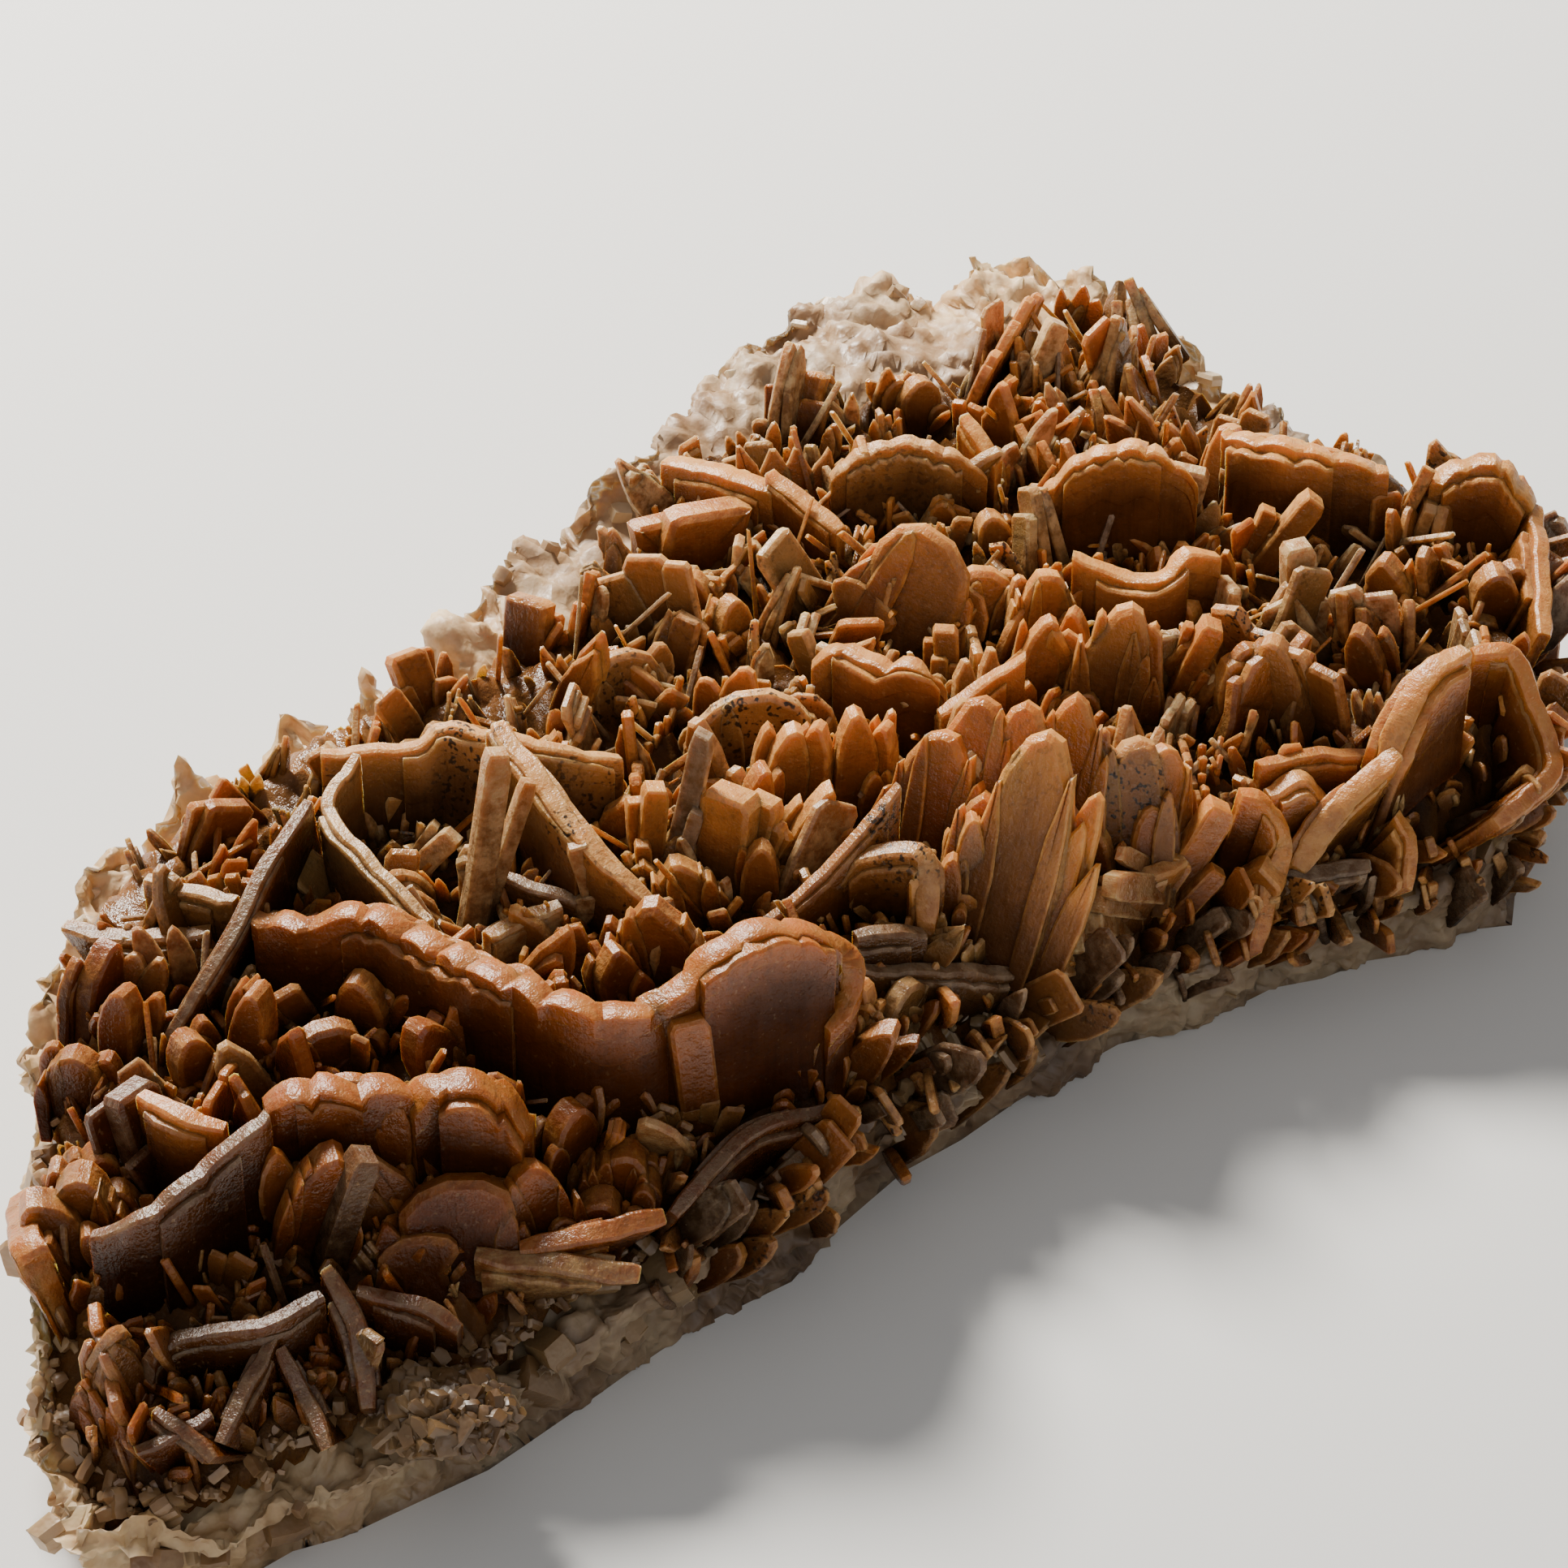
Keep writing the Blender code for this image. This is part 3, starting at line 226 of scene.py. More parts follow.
def seen(pixel, height):
    """The point at this height that the photograph shows at this pixel."""
    right, up, forward = view_axes()
    aside = (pixel[0] - MIDDLE_PIXEL) / FOCAL_PIXELS
    below = (pixel[1] - MIDDLE_PIXEL) / FOCAL_PIXELS
    ray = forward + aside * right - below * up
    return EYE + ray * ((height - EYE.z) / ray.z)


def over_crust(pixel, rise):
    """The point that the photograph shows at this pixel, this far above the crust."""
    def gap(height):
        point = seen(pixel, height)
        return height - rise - crust_height(point.x, point.y)

    high, low = 30.0, 28.0
    while gap(low) > 0.0:
        high, low = low, low - 1.0
    for _ in range(12):
        middle = (high + low) / 2
        high, low = (middle, low) if gap(middle) > 0.0 else (high, middle)
    return seen(pixel, high)


def rooted(foot):
    """The foot itself, or the place just inside the bed's edge from which such a crystal leans out."""
    middle = Vector((0.85 * foot.x, SPINE_Y, foot.z))
    for share in range(40):
        moved = foot.lerp(middle, share / 40)
        if inside(moved, BED_PLAN) and distance_to(moved, BED_PLAN) > ROOT_MARGIN:
            return moved
    return middle


noise.seed_set(3)           # for the golden tint in Shells.add


def varied(tone, rng, most):
    """The tone made darker or lighter by up to this much, still between 0 and 1."""
    return min(max(tone + rng.uniform(-most, most), 0.0), 1.0)


def any_way(rng):
    """A random direction, not of unit length."""
    return Vector((rng.uniform(-1, 1), rng.uniform(-1, 1), rng.uniform(-1, 1)))


def boxed(places):
    """These places, in metres, kept inside the solids' box."""
    return np.clip(places, np.array(cad_box[0]) + BOX_MARGIN, np.array(cad_box[1]) - BOX_MARGIN)


def lit(x, y, rng):
    """Tone of a crystal, with painted light and shade: darker towards the near end and the front as painted
    shade, lighter in the middle and beyond as painted light, and varied at random.
    """
    light = 0.15 + 0.85 * smooth((x + 44.0) / 40.0) - 0.40 * smooth((2.0 - y - 0.35 * x) / 12.0)
    return varied(light, rng, 0.25)


class Levels:
    """The crust's height on a grid, for looking it up at many points at once."""

    def __init__(self):
        x, y = LEVEL_CORNER
        self.grid = np.array([[crust_height(x + i * LEVEL_STEP, y + j * LEVEL_STEP)
                               for j in range(LEVEL_COUNTS[1])] for i in range(LEVEL_COUNTS[0])])

    def above(self, points):
        """How far each point lies above the crust."""
        cells = np.rint((points[:, :2] - np.array(LEVEL_CORNER)) / LEVEL_STEP).astype(int)
        i = np.clip(cells[:, 0], 0, LEVEL_COUNTS[0] - 1)
        j = np.clip(cells[:, 1], 0, LEVEL_COUNTS[1] - 1)
        return points[:, 2] - self.grid[i, j]


levels = Levels()


class Shells:
    """Collects closed shells in one mesh, with what the materials need to know at each point."""

    def __init__(self):
        self.points = []
        self.faces = []
        self.data = {"tone": [], "rim": [], "rise": [], "olive": [], "frost": [], "spots": []}
        self.grain = []

    def add(self, points, faces, tone, rim, rise, finish, grain):
        base = len(self.points)
        self.points += points
        self.faces += [tuple(base + i for i in face) for face in faces]
        count = len(points)
        self.data["tone"] += [tone] * count
        self.data["rim"] += [max(value, finish[3]) for value in rim]
        self.data["rise"] += rise
        golden = 0.4 * noise.random() if finish[0] < 0.5 else 0.0
        for key, value in zip(("olive", "frost", "spots"), (finish[0] + golden, finish[1], finish[2])):
            self.data[key] += [value] * count
        self.grain += grain

    def make(self, name, material, slot, glow=0.65, sharp=34.0):
        """The piece itself, kept inside the solids' box."""
        places = np.array(self.points)
        # Painted shade and glow: by the share glow, points low over the crust are coloured darker and high
        # ones brighter.
        depth = np.clip(levels.above(places) / FULL_GLOW, 0.0, 1.0)
        self.data["rise"] = (1.0 - glow) * np.array(self.data["rise"]) + glow * depth
        mesh = bpy.data.meshes.new(name)
        mesh.from_pydata(boxed(places * MM).tolist(), [], self.faces)
        for key, values in self.data.items():
            made = mesh.attributes.new(key, 'FLOAT', 'POINT')
            made.data.foreach_set("value", np.array(values, dtype=np.float32))
        made = mesh.attributes.new("grain", 'FLOAT_VECTOR', 'POINT')
        made.data.foreach_set("vector", np.array(self.grain, dtype=np.float32).ravel())
        mesh.shade_smooth()
        mesh.set_sharp_from_angle(angle=math.radians(sharp))
        mesh.materials.append(material)
        piece = bpy.data.objects.new(name, mesh)
        bpy.context.scene.collection.objects.link(piece)
        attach(piece, "root")
        return piece


def inset_loop(outline, amount):
    """A closed outline moved inwards by this much, never past its own middle."""
    loop = np.array(outline)
    before, after = np.roll(loop, 1, axis=0), np.roll(loop, -1, axis=0)
    along = after - before
    along /= np.linalg.norm(along, axis=1)[:, None] + 1e-9
    inward = np.stack([-along[:, 1], along[:, 0]], axis=1)
    middle = loop.mean(axis=0)
    reach = np.linalg.norm(loop - middle, axis=1)[:, None]
    return loop + inward * np.minimum(amount, 0.45 * reach)


def plate(shells, rng, outline, foot, across, up, thick, tone, finish, bow=0.0, fine=True):
    """A tabular crystal: flat faces, chisel-shaped rims and a slight bow across it."""
    normal = across.cross(up).normalized()
    loop = np.array(outline)
    count = len(loop)
    length = max(loop[:, 1].max(), 0.1)
    width = np.abs(loop[:, 0]).max()
    bevel = min(0.27 * thick, 0.16 * width, 0.42)
    edge = 0.5 - 0.85 * bevel / thick
    if fine:
        inner = min(3.0 * bevel, bevel + 0.1 * width)
        stages = [(inner, 0.5, 0.0), (bevel, 0.5, 0.45), (0.0, edge, 1.0), (0.0, -edge, 1.0),
                  (bevel, -0.5, 0.45), (inner, -0.5, 0.0)]
    else:
        stages = [(1.2 * bevel, 0.5, 0.3), (0.0, 0.12, 1.0), (1.2 * bevel, -0.5, 0.3)]
    points, rim, rise, grain = [], [], [], []
    seed = rng.uniform(0.0, 50.0)
    for amount, depth, rim_coat_cover in stages:
        ring = inset_loop(loop, amount) if amount > 0.0 else loop
        for u, v in ring:
            curve = bow * ((u / max(width, 0.1)) ** 2 + 0.5 * (v / length) ** 2)
            place = foot + across * float(u) + up * float(v) + normal * (depth * thick + curve)
            points.append(tuple(place))
            rim.append(rim_coat_cover)
            # Painted shade at the foot, rising to a painted glow at the tip.
            rise.append(min(max(v / length, 0.0), 1.0))
            grain.append((u, v, seed))
    faces = []
    for r in range(len(stages) - 1):
        low, high = (r + 1) * count, r * count
        for k in range(count):
            n = (k + 1) % count
            faces.append((low + k, low + n, high + n))
            faces.append((low + k, high + n, high + k))
    for ring_start, depth, flip in ((0, 0.5, False), ((len(stages) - 1) * count, -0.5, True)):
        u, v = np.array([grain[ring_start + k][:2] for k in range(count)]).mean(axis=0)
        curve = bow * ((u / max(width, 0.1)) ** 2 + 0.5 * (v / length) ** 2)
        centre = len(points)
        points.append(tuple(foot + across * float(u) + up * float(v) + normal * (depth * thick + curve)))
        rim.append(0.0)
        rise.append(min(max(v / length, 0.0), 1.0))
        grain.append((u, v, seed))
        for k in range(count):
            a, b = ring_start + k, ring_start + (k + 1) % count
            faces.append((b, a, centre) if flip else (a, b, centre))
    shells.add(points, faces, tone, rim, rise, finish, grain)


def face_outline(rng, form, width, length, sink, steps=3, rough=0.05):
    """A blade's outline in millimetres, anticlockwise, with small steps and notches along its rim."""
    corners = [(-0.36, -sink / length)] + list(form) + [(0.36, -sink / length)]
    corners.reverse()
    lean, notch = rng.uniform(-0.26, 0.26), rng.uniform(0.3, 0.95)
    loop = []
    for (au, av), (bu, bv) in zip(corners, corners[1:] + corners[:1]):
        parts = steps if abs(bv - av) > 0.25 else 1
        for k in range(parts):
            t = k / parts
            u, v = au + (bu - au) * t, av + (bv - av) * t
            if v > 0.25:
                u *= 1.0 + rng.uniform(-rough, 0.5 * rough)
                u += lean * (v - 0.25) ** 2
                v -= 0.05 * rng.random() if abs(v - notch) < 0.12 else rng.uniform(0.0, 0.4 * rough)
            loop.append((u * width, min(v, 1.0) * length))
    return loop


def blade(shells, rng, foot, tip, width, thick, turn=0.0, form=ROUND, finish=AMBER, layers=3):
    """A blade from its foot to its tip, grown from a few parallel layers that end in steps."""
    length = (tip - foot).length
    up = (tip - foot) / length
    sight = ((foot + tip) / 2 - EYE).normalized()
    across = Matrix.Rotation(math.radians(turn), 3, up) @ sight.cross(up).normalized()
    normal = across.cross(up)
    tone = lit(foot.x, foot.y, rng)
    bow = rng.uniform(-0.12, 0.12) * width * 0.5
    main = face_outline(rng, form, width, length, SINK)
    plate(shells, rng, main, foot, across, up, thick, tone, finish, bow)
    for _ in range(layers):
        behind = 1.0 if rng.random() < 0.7 else -1.0
        side = behind * math.copysign(1.0, normal.dot(sight))
        size = rng.uniform(0.40, 0.75)
        reach = rng.uniform(0.55, 0.94) if behind > 0.0 else rng.uniform(0.3, 0.6)
        aside = rng.choice((-1.0, 1.0)) * rng.uniform(0.22, 0.5)
        shift = across * (aside * width) + normal * (side * thick * rng.uniform(0.35, 0.75))
        swing = Matrix.Rotation(-math.copysign(1.0, aside) * rng.uniform(0.0, 0.22), 3, normal)
        twist = Matrix.Rotation(rng.uniform(-0.12, 0.12), 3, up)
        outline = face_outline(rng, form, width * size, length * reach, SINK, 2)
        plate(shells, rng, outline, foot + shift, swing @ (twist @ across), swing @ up,
              thick * rng.uniform(0.4, 0.75), varied(tone, rng, 0.2), finish, bow)
    if width < SHOULDERED or form is SQUARE:
        return
    near = -math.copysign(1.0, normal.dot(sight))
    for k in range(SHOULDERS):
        aside = (1.0 if k % 2 else -1.0) * (0.20 + 0.07 * k + rng.uniform(-0.04, 0.04))
        reach = 0.96 - 0.085 * k - rng.uniform(0.0, 0.07)
        shift = across * (aside * width) + normal * (near * thick * rng.uniform(0.05, 0.42))
        swing = Matrix.Rotation(-aside * rng.uniform(0.0, 0.25), 3, normal)
        shape = POINT if k % 3 else ROUND
        outline = face_outline(rng, shape, width * rng.uniform(0.22, 0.36), length * reach, SINK, 2)
        plate(shells, rng, outline, foot + shift, swing @ across, swing @ up, thick * rng.uniform(0.5, 0.85),
              varied(tone, rng, 0.2), finish, 0.0)


def spline(points, spacing):
    """Points along a smooth curve through the given ones, about this far apart."""
    ends = [points[0] * 2 - points[1]] + list(points) + [points[-1] * 2 - points[-2]]
    found = []
    for i in range(1, len(ends) - 2):
        p0, p1, p2, p3 = ends[i - 1], ends[i], ends[i + 1], ends[i + 2]
        steps = max(2, int((p2 - p1).length / spacing))
        for k in range(steps):
            t = k / steps
            found.append(0.5 * ((2 * p1) + (p2 - p0) * t + (2 * p0 - 5 * p1 + 4 * p2 - p3) * t * t
                                + (3 * p1 - p0 - 3 * p2 + p3) * t ** 3))
    found.append(points[-1].copy())
    return found


# Depth below a plate's rim, and half of its thickness there: one bevel, then growth steps down its sides
DEPTHS = ((0.0, 0.36), (0.16, 0.5), (0.38, 0.5), (1.3, 0.5), (1.36, 0.41), (2.8, 0.42), (2.86, 0.34),
          (5.0, 0.38), (99.0, 0.42))
RIM_COAT = (1.0, 0.8, 0.0, 0.0, 0.0, 0.0, 0.0, 0.0, 0.0)


def sheet(shells, rng, crest, feet, thick, tone, finish, lobe=3.0, depth=0.16, offset=0.0, low=0.0):
    """A curved plate under a crest line, with a lobed and stepped rim as crested barite has."""
    travelled = 0.0
    seed = rng.uniform(0.0, 50.0)
    phase = rng.uniform(0.0, 1.0)
    points, rim, rise, grain = [], [], [], []
    count = len(crest)
    ring = 2 * len(DEPTHS)
    thick *= PLATE_SLIMMING
    for i in range(count):
        along = crest[min(i + 1, count - 1)] - crest[max(i - 1, 0)]
        if i:
            travelled += (crest[i] - crest[i - 1]).length
        down = feet[i] - crest[i]
        full = down.length
        down = down / full
        side = along.cross(-down).normalized()
        wobble = noise.noise(Vector((travelled * 0.35, seed, 0.0)))
        step = (travelled / lobe + phase + 0.35 * wobble) % 1.0
        scallop = depth * (1.0 - abs(math.sin(math.pi * step)) ** 0.5) + 0.5 * depth * (wobble + 0.4)
        scallop += 0.10 * abs(noise.noise(Vector((travelled * 1.7, 3.0, seed))))
        ledge = 1.0 + 0.45 * noise.noise(Vector((travelled * 0.5, 0.0, seed + 9.0)))
        ends = min(i, count - 1 - i)
        taper = min(1.0, 0.75 + 0.12 * ends)
        for flip in (1.0, -1.0):
            order = list(zip(DEPTHS, RIM_COAT))
            for (reach, half), coat in order if flip > 0 else reversed(order):
                fade = 1.0 / (1.0 + reach * reach)
                at = min(reach * (ledge if reach > 0.5 else 1.0) + scallop * fade + low, full)
                sway = thick * (0.30 * (step - 0.5) * min(1.0, 2.0 * depth) + 0.12 * wobble) * fade + offset
                place = crest[i] + down * at + side * (flip * half * thick * taper + sway)
                points.append(tuple(place))
                rim.append(coat)
                # Painted glow just under the rim, fading to painted shade further down.
                rise.append(max(0.0, 1.0 - at / GLOW_DEPTH))
                grain.append((travelled, at, seed))
    faces = []
    for i in range(count - 1):
        a, b = i * ring, (i + 1) * ring
        for k in range(ring):
            n = (k + 1) % ring
            faces.append((a + n, b + k, a + k))
            faces.append((a + n, b + n, b + k))
    for start, flip in ((0, True), ((count - 1) * ring, False)):
        for k in range(1, ring - 1):
            faces.append((start, start + k + 1, start + k) if flip else (start, start + k, start + k + 1))
    shells.add(points, faces, tone, rim, rise, finish, grain)


class Heroes:
    """Builds the crystals that the photograph shows one by one."""

    def __init__(self, rng):
        self.rng = rng
        self.blades = Shells()
        self.sheets = Shells()
        self.feet = []

    def tongue(self, foot, tip, rise, width, thick, turn=0.0, form=ROUND, finish=AMBER, layers=3):
        """A blade between the pixels of its foot and its tip, which lies this far above the foot."""
        root = rooted(over_crust(foot, 0.0))
        self.feet.append((root, width))
        top = seen(tip, root.z + rise)
        blade(self.blades, self.rng, root, top, width, thick, turn, form, finish, layers)

    def tongues(self, *rows, **looks):
        for row in rows:
            self.tongue(*row, **looks)

    def wall(self, rim, rise, thick, drop, lean=0.0, finish=AMBER, lobe=3.0, depth=0.16, sides=(-1.0, 1.0)):
        """A plate under the pixels of its rim, whose height or heights above the crust are given too."""
        heights = rise if isinstance(rise, tuple) else (rise,) * len(rim)
        back = Vector((math.cos(HEADING), math.sin(HEADING), 0.0))
        crest = [over_crust(pixel, high) for pixel, high in zip(rim, heights)]
        feet = [rooted(top - Vector((0.0, 0.0, drop)) - back * lean) for top in crest]
        self.feet += [(foot, 3.0) for foot in feet]
        rng = self.rng
        tone = lit(crest[0].x, crest[0].y, rng)
        crest, feet = spline(crest, RIM_SPACING), spline(feet, RIM_SPACING)
        size = min(len(crest), len(feet))
        crest = [crest[round(k * (len(crest) - 1) / (size - 1))] for k in range(size)]
        feet = [feet[round(k * (len(feet) - 1) / (size - 1))] for k in range(size)]
        sheet(self.sheets, rng, crest, feet, thick, tone, finish, lobe, depth)
        for side in sides:
            first = int(rng.uniform(0.0, 0.35) * size)
            last = int(rng.uniform(0.65, 1.0) * size)
            if last - first > 5:
                sheet(self.sheets, rng, crest[first:last], feet[first:last], thick * rng.uniform(0.45, 0.7),
                      varied(tone, rng, 0.15), finish, lobe * rng.uniform(0.6, 1.2), depth * 1.1,
                      side * thick * rng.uniform(0.28, 0.5), rng.uniform(0.25, 0.9))


def add_front_plates(bed):
    """The big curved cockscomb plate in front, and the plates and sticks around it."""
    bed.wall(((315, 1122), (392, 1124), (460, 1117), (519, 1148), (600, 1182), (698, 1224), (770, 1240),
            (815, 1219)), (5.5, 6.5, 7.0, 7.0, 7.0, 7.0, 7.0, 7.5), 2.3, 9.5, 1.5, lobe=2.6, depth=0.55)
    bed.wall(((800, 1232), (841, 1204), (877, 1168), (938, 1138), (1000, 1140), (1040, 1165), (1042, 1215),
            (1014, 1262)), (7.0, 8.0, 9.0, 9.5, 9.0, 8.0, 6.5, 5.0), 2.2, 11.0, 1.0, lobe=3.4, depth=0.3,
            sides=(1.0,))
    bed.tongue((862, 1385), (845, 1248), 7.5, 2.3, 1.7, 15, form=SQUARE)
    bed.wall(((379, 985), (330, 1060), (290, 1140), (245, 1215), (201, 1288)), (7.5, 6.5, 5.5, 3.8, 1.5),
            1.0, 8.0, -3.0, finish=RIMMED, depth=0.05)
    bed.wall(((78, 1137), (150, 1150), (259, 1143)), 2.2, 1.6, 3.6, finish=OLIVE)
    bed.wall(((179, 1079), (240, 1095), (290, 1105)), 3.6, 1.4, 5.0, finish=OLIVE)
    bed.wall(((112, 1518), (180, 1490), (260, 1425), (330, 1370)), (4.5, 5.5, 6.5, 7.0), 1.5, 8.5, 1.0,
            finish=RIMMED, depth=0.3)
    bed.wall(((325, 1355), (370, 1330), (440, 1328), (504, 1335)), (6.5, 7.0, 7.0, 6.0), 2.4, 8.5, 0.5,
            lobe=2.8, depth=0.6)
    bed.tongue((478, 1450), (482, 1350), 5.5, 2.4, 2.0)
    bed.wall(((504, 1362), (530, 1332), (575, 1326), (620, 1340), (656, 1378)), (5.5, 6.5, 7.0, 6.5, 5.0),
            2.6, 8.5, 0.5, lobe=2.8, depth=0.6)
    bed.tongue((375, 1525), (402, 1412), 6.0, 3.2, 2.0, 20)
    bed.tongue((402, 1560), (447, 1420), 7.0, 1.5, 1.7, 30, form=SQUARE, finish=STICK, layers=1)
    bed.tongue((560, 1560), (556, 1448), 4.5, 6.0, 2.0, 0, form=FAN)
    bed.tongue((665, 1530), (640, 1435), 5.0, 3.6, 1.6, 10)
    bed.wall(((640, 1535), (730, 1518), (820, 1495)), (3.0, 3.5, 4.0), 1.5, 5.5)
    bed.wall(((586, 1541), (690, 1555), (790, 1571)), (2.6, 2.8, 2.2), 1.6, 5.0, finish=PALE)
    bed.wall(((830, 1495), (877, 1439), (922, 1393), (980, 1372), (1035, 1362)), (2.6, 3.2, 3.6, 3.4, 3.0),
            1.1, 6.0, finish=RIMMED, lobe=4.6, depth=0.1)
    bed.wall(((955, 1450), (1000, 1412), (1040, 1385)), (1.4, 1.6, 1.6), 1.0, 4.5, finish=RIMMED, lobe=4.0,
            depth=0.1)


def add_near_end(bed):
    """The star of crossing plates at the near end, and the orange nubs along its left edge."""
    bed.wall(((395, 1590), (330, 1625), (235, 1640), (187, 1665), (179, 1701)), (4.0, 4.2, 3.6, 3.0, 1.8),
            1.2, 6.0, finish=RIMMED)
    bed.wall(((400, 1560), (430, 1610), (446, 1670), (452, 1735)), (4.4, 3.8, 3.0, 2.0), 1.3, 6.0,
            finish=RIMMED)
    bed.wall(((440, 1585), (510, 1600), (567, 1634)), (3.8, 3.6, 2.8), 1.2, 5.5, finish=RIMMED)
    bed.wall(((335, 1645), (300, 1710), (268, 1777)), (3.6, 3.0, 2.2), 1.1, 5.0, finish=RIMMED)
    bed.wall(((345, 1660), (378, 1725), (402, 1786)), (3.4, 2.6, 2.0), 1.1, 5.0, finish=RIMMED)
    bed.wall(((165, 1786), (212, 1762), (259, 1737)), (2.6, 2.8, 2.8), 1.1, 5.0, finish=RIMMED)
    bed.wall(((190, 1735), (225, 1760), (260, 1800)), (3.0, 3.0, 2.4), 1.0, 4.5, finish=RIMMED)
    bed.wall(((20, 1470), (30, 1530), (60, 1580)), (5.0, 4.5, 3.5), 2.2, 7.0)
    bed.tongues(((110, 1520), (95, 1440), 4.5, 3.4, 2.2, -15),
                ((55, 1545), (35, 1475), 4.0, 3.0, 2.2, -20))
    bed.tongue((190, 1445), (160, 1335), 5.5, 3.0, 1.6, 35, form=SQUARE, finish=RIMMED)
    bed.wall(((174, 1344), (225, 1370), (277, 1388)), (6.0, 6.0, 5.5), 1.4, 7.5)
    bed.tongues(((130, 1460), (118, 1415), 3.0, 2.2, 1.7),
                ((85, 1360), (90, 1295), 3.6, 3.2, 1.8, -20),
                ((150, 1310), (148, 1215), 4.6, 2.2, 1.8, -30),
                ((310, 1310), (318, 1215), 5.5, 2.2, 1.9, -25),
                ((250, 1340), (225, 1275), 4.0, 2.6, 1.7, 15),
                ((80, 1250), (130, 1160), 4.5, 2.6, 1.5, 50))
    bed.tongue((400, 1320), (392, 1262), 3.2, 4.0, 1.6, 10, form=FAN)
    bed.tongues(((445, 1275), (450, 1205), 4.4, 3.0, 1.6, -20),
                ((545, 1330), (520, 1255), 4.4, 3.0, 1.7, 30),
                ((700, 1430), (700, 1360), 4.2, 3.0, 1.6, 40),
                ((760, 1465), (762, 1412), 3.0, 3.2, 2.0),
                ((735, 1510), (740, 1470), 2.4, 2.6, 1.9))


def add_left_middle(bed):
    """The pale sticks and the long olive plates to the left of the middle."""
    bed.tongue((578, 1160), (618, 922), 12.0, 1.5, 1.3, 20, form=SQUARE, finish=PALE, layers=1)
    bed.wall(((613, 887), (660, 950), (729, 1039), (801, 1106)), (8.5, 7.5, 6.0, 4.0), 1.6, 7.0, 0.5,
            finish=SPECKLED)
    bed.tongue((742, 1140), (712, 1035), 6.0, 1.4, 1.4, form=SQUARE, finish=PALE, layers=1)
    bed.wall(((395, 925), (460, 918), (515, 914), (546, 890), (613, 901), (690, 918), (765, 932)),
            (6.0, 6.5, 6.5, 7.5, 7.0, 6.0, 4.5), 1.5, 9.5, 2.0, finish=SPECKLED, depth=0.2)
    bed.wall(((439, 928), (404, 990), (460, 1060), (529, 1133)), (7.5, 6.5, 6.0, 5.0), 1.0, 6.0,
            finish=OLIVE)
    bed.tongue((502, 1086), (558, 1026), 3.0, 1.4, 1.4, form=SQUARE, finish=PALE, layers=1)
    bed.wall(((618, 1075), (665, 1092), (712, 1106)), 2.6, 1.2, 4.5, finish=FROST)
    bed.wall(((600, 1150), (640, 1128), (690, 1112)), 3.0, 1.6, 5.0, finish=PALE)
    bed.tongue((685, 1140), (745, 1096), 3.0, 1.8, 1.2, 20, finish=PALE, layers=1)
    bed.tongues(((815, 1215), (808, 1110), 6.2, 5.0, 1.7, -10),
                ((765, 1235), (755, 1165), 4.0, 2.6, 1.5, 20),
                ((850, 1130), (837, 1056), 4.2, 3.4, 1.6), form=POINT)
    bed.tongue((800, 1080), (805, 966), 6.2, 1.5, 1.4, 10, form=SQUARE)
    bed.tongue((828, 1078), (872, 900), 9.5, 1.3, 1.1, -10, form=SQUARE, finish=STICK, layers=1)
    bed.tongue((752, 1045), (770, 980), 3.5, 2.2, 1.2, form=POINT)
    bed.tongue((890, 1095), (902, 972), 6.4, 3.2, 2.2, -25, form=SQUARE)
    bed.tongues(((935, 1120), (936, 1038), 4.5, 2.2, 1.5),
                ((930, 1040), (934, 943), 5.6, 1.9, 1.5, 20),
                ((965, 1010), (972, 893), 6.5, 2.6, 1.6, 10),
                ((1000, 1010), (1003, 888), 6.5, 2.2, 1.4, -15),
                ((1050, 1000), (1060, 872), 7.0, 2.6, 1.6, 15),
                ((1078, 990), (1090, 890), 5.6, 2.0, 1.4, -20),
                ((966, 1075), (1028, 968), 5.6, 1.8, 1.5, 25))
    bed.wall(((930, 1142), (1000, 1085), (1060, 1020), (1107, 964)), (1.5, 4.0, 6.0, 7.5), 1.1, 5.0, 0.5,
            finish=SPECKLED, depth=0.1)
    bed.wall(((1022, 1088), (1060, 1050), (1130, 1046), (1144, 1075), (1140, 1135)),
            (3.5, 5.0, 5.5, 4.8, 3.0), 1.7, 6.0, -0.5, finish=SPECKLED, depth=0.1)
    bed.tongues(((640, 800), (650, 735), 3.4, 3.2, 1.4, -35),
                ((520, 880), (500, 800), 4.0, 2.6, 1.2, 30),
                ((255, 1060), (280, 985), 4.0, 3.0, 1.2, 35), form=SQUARE)


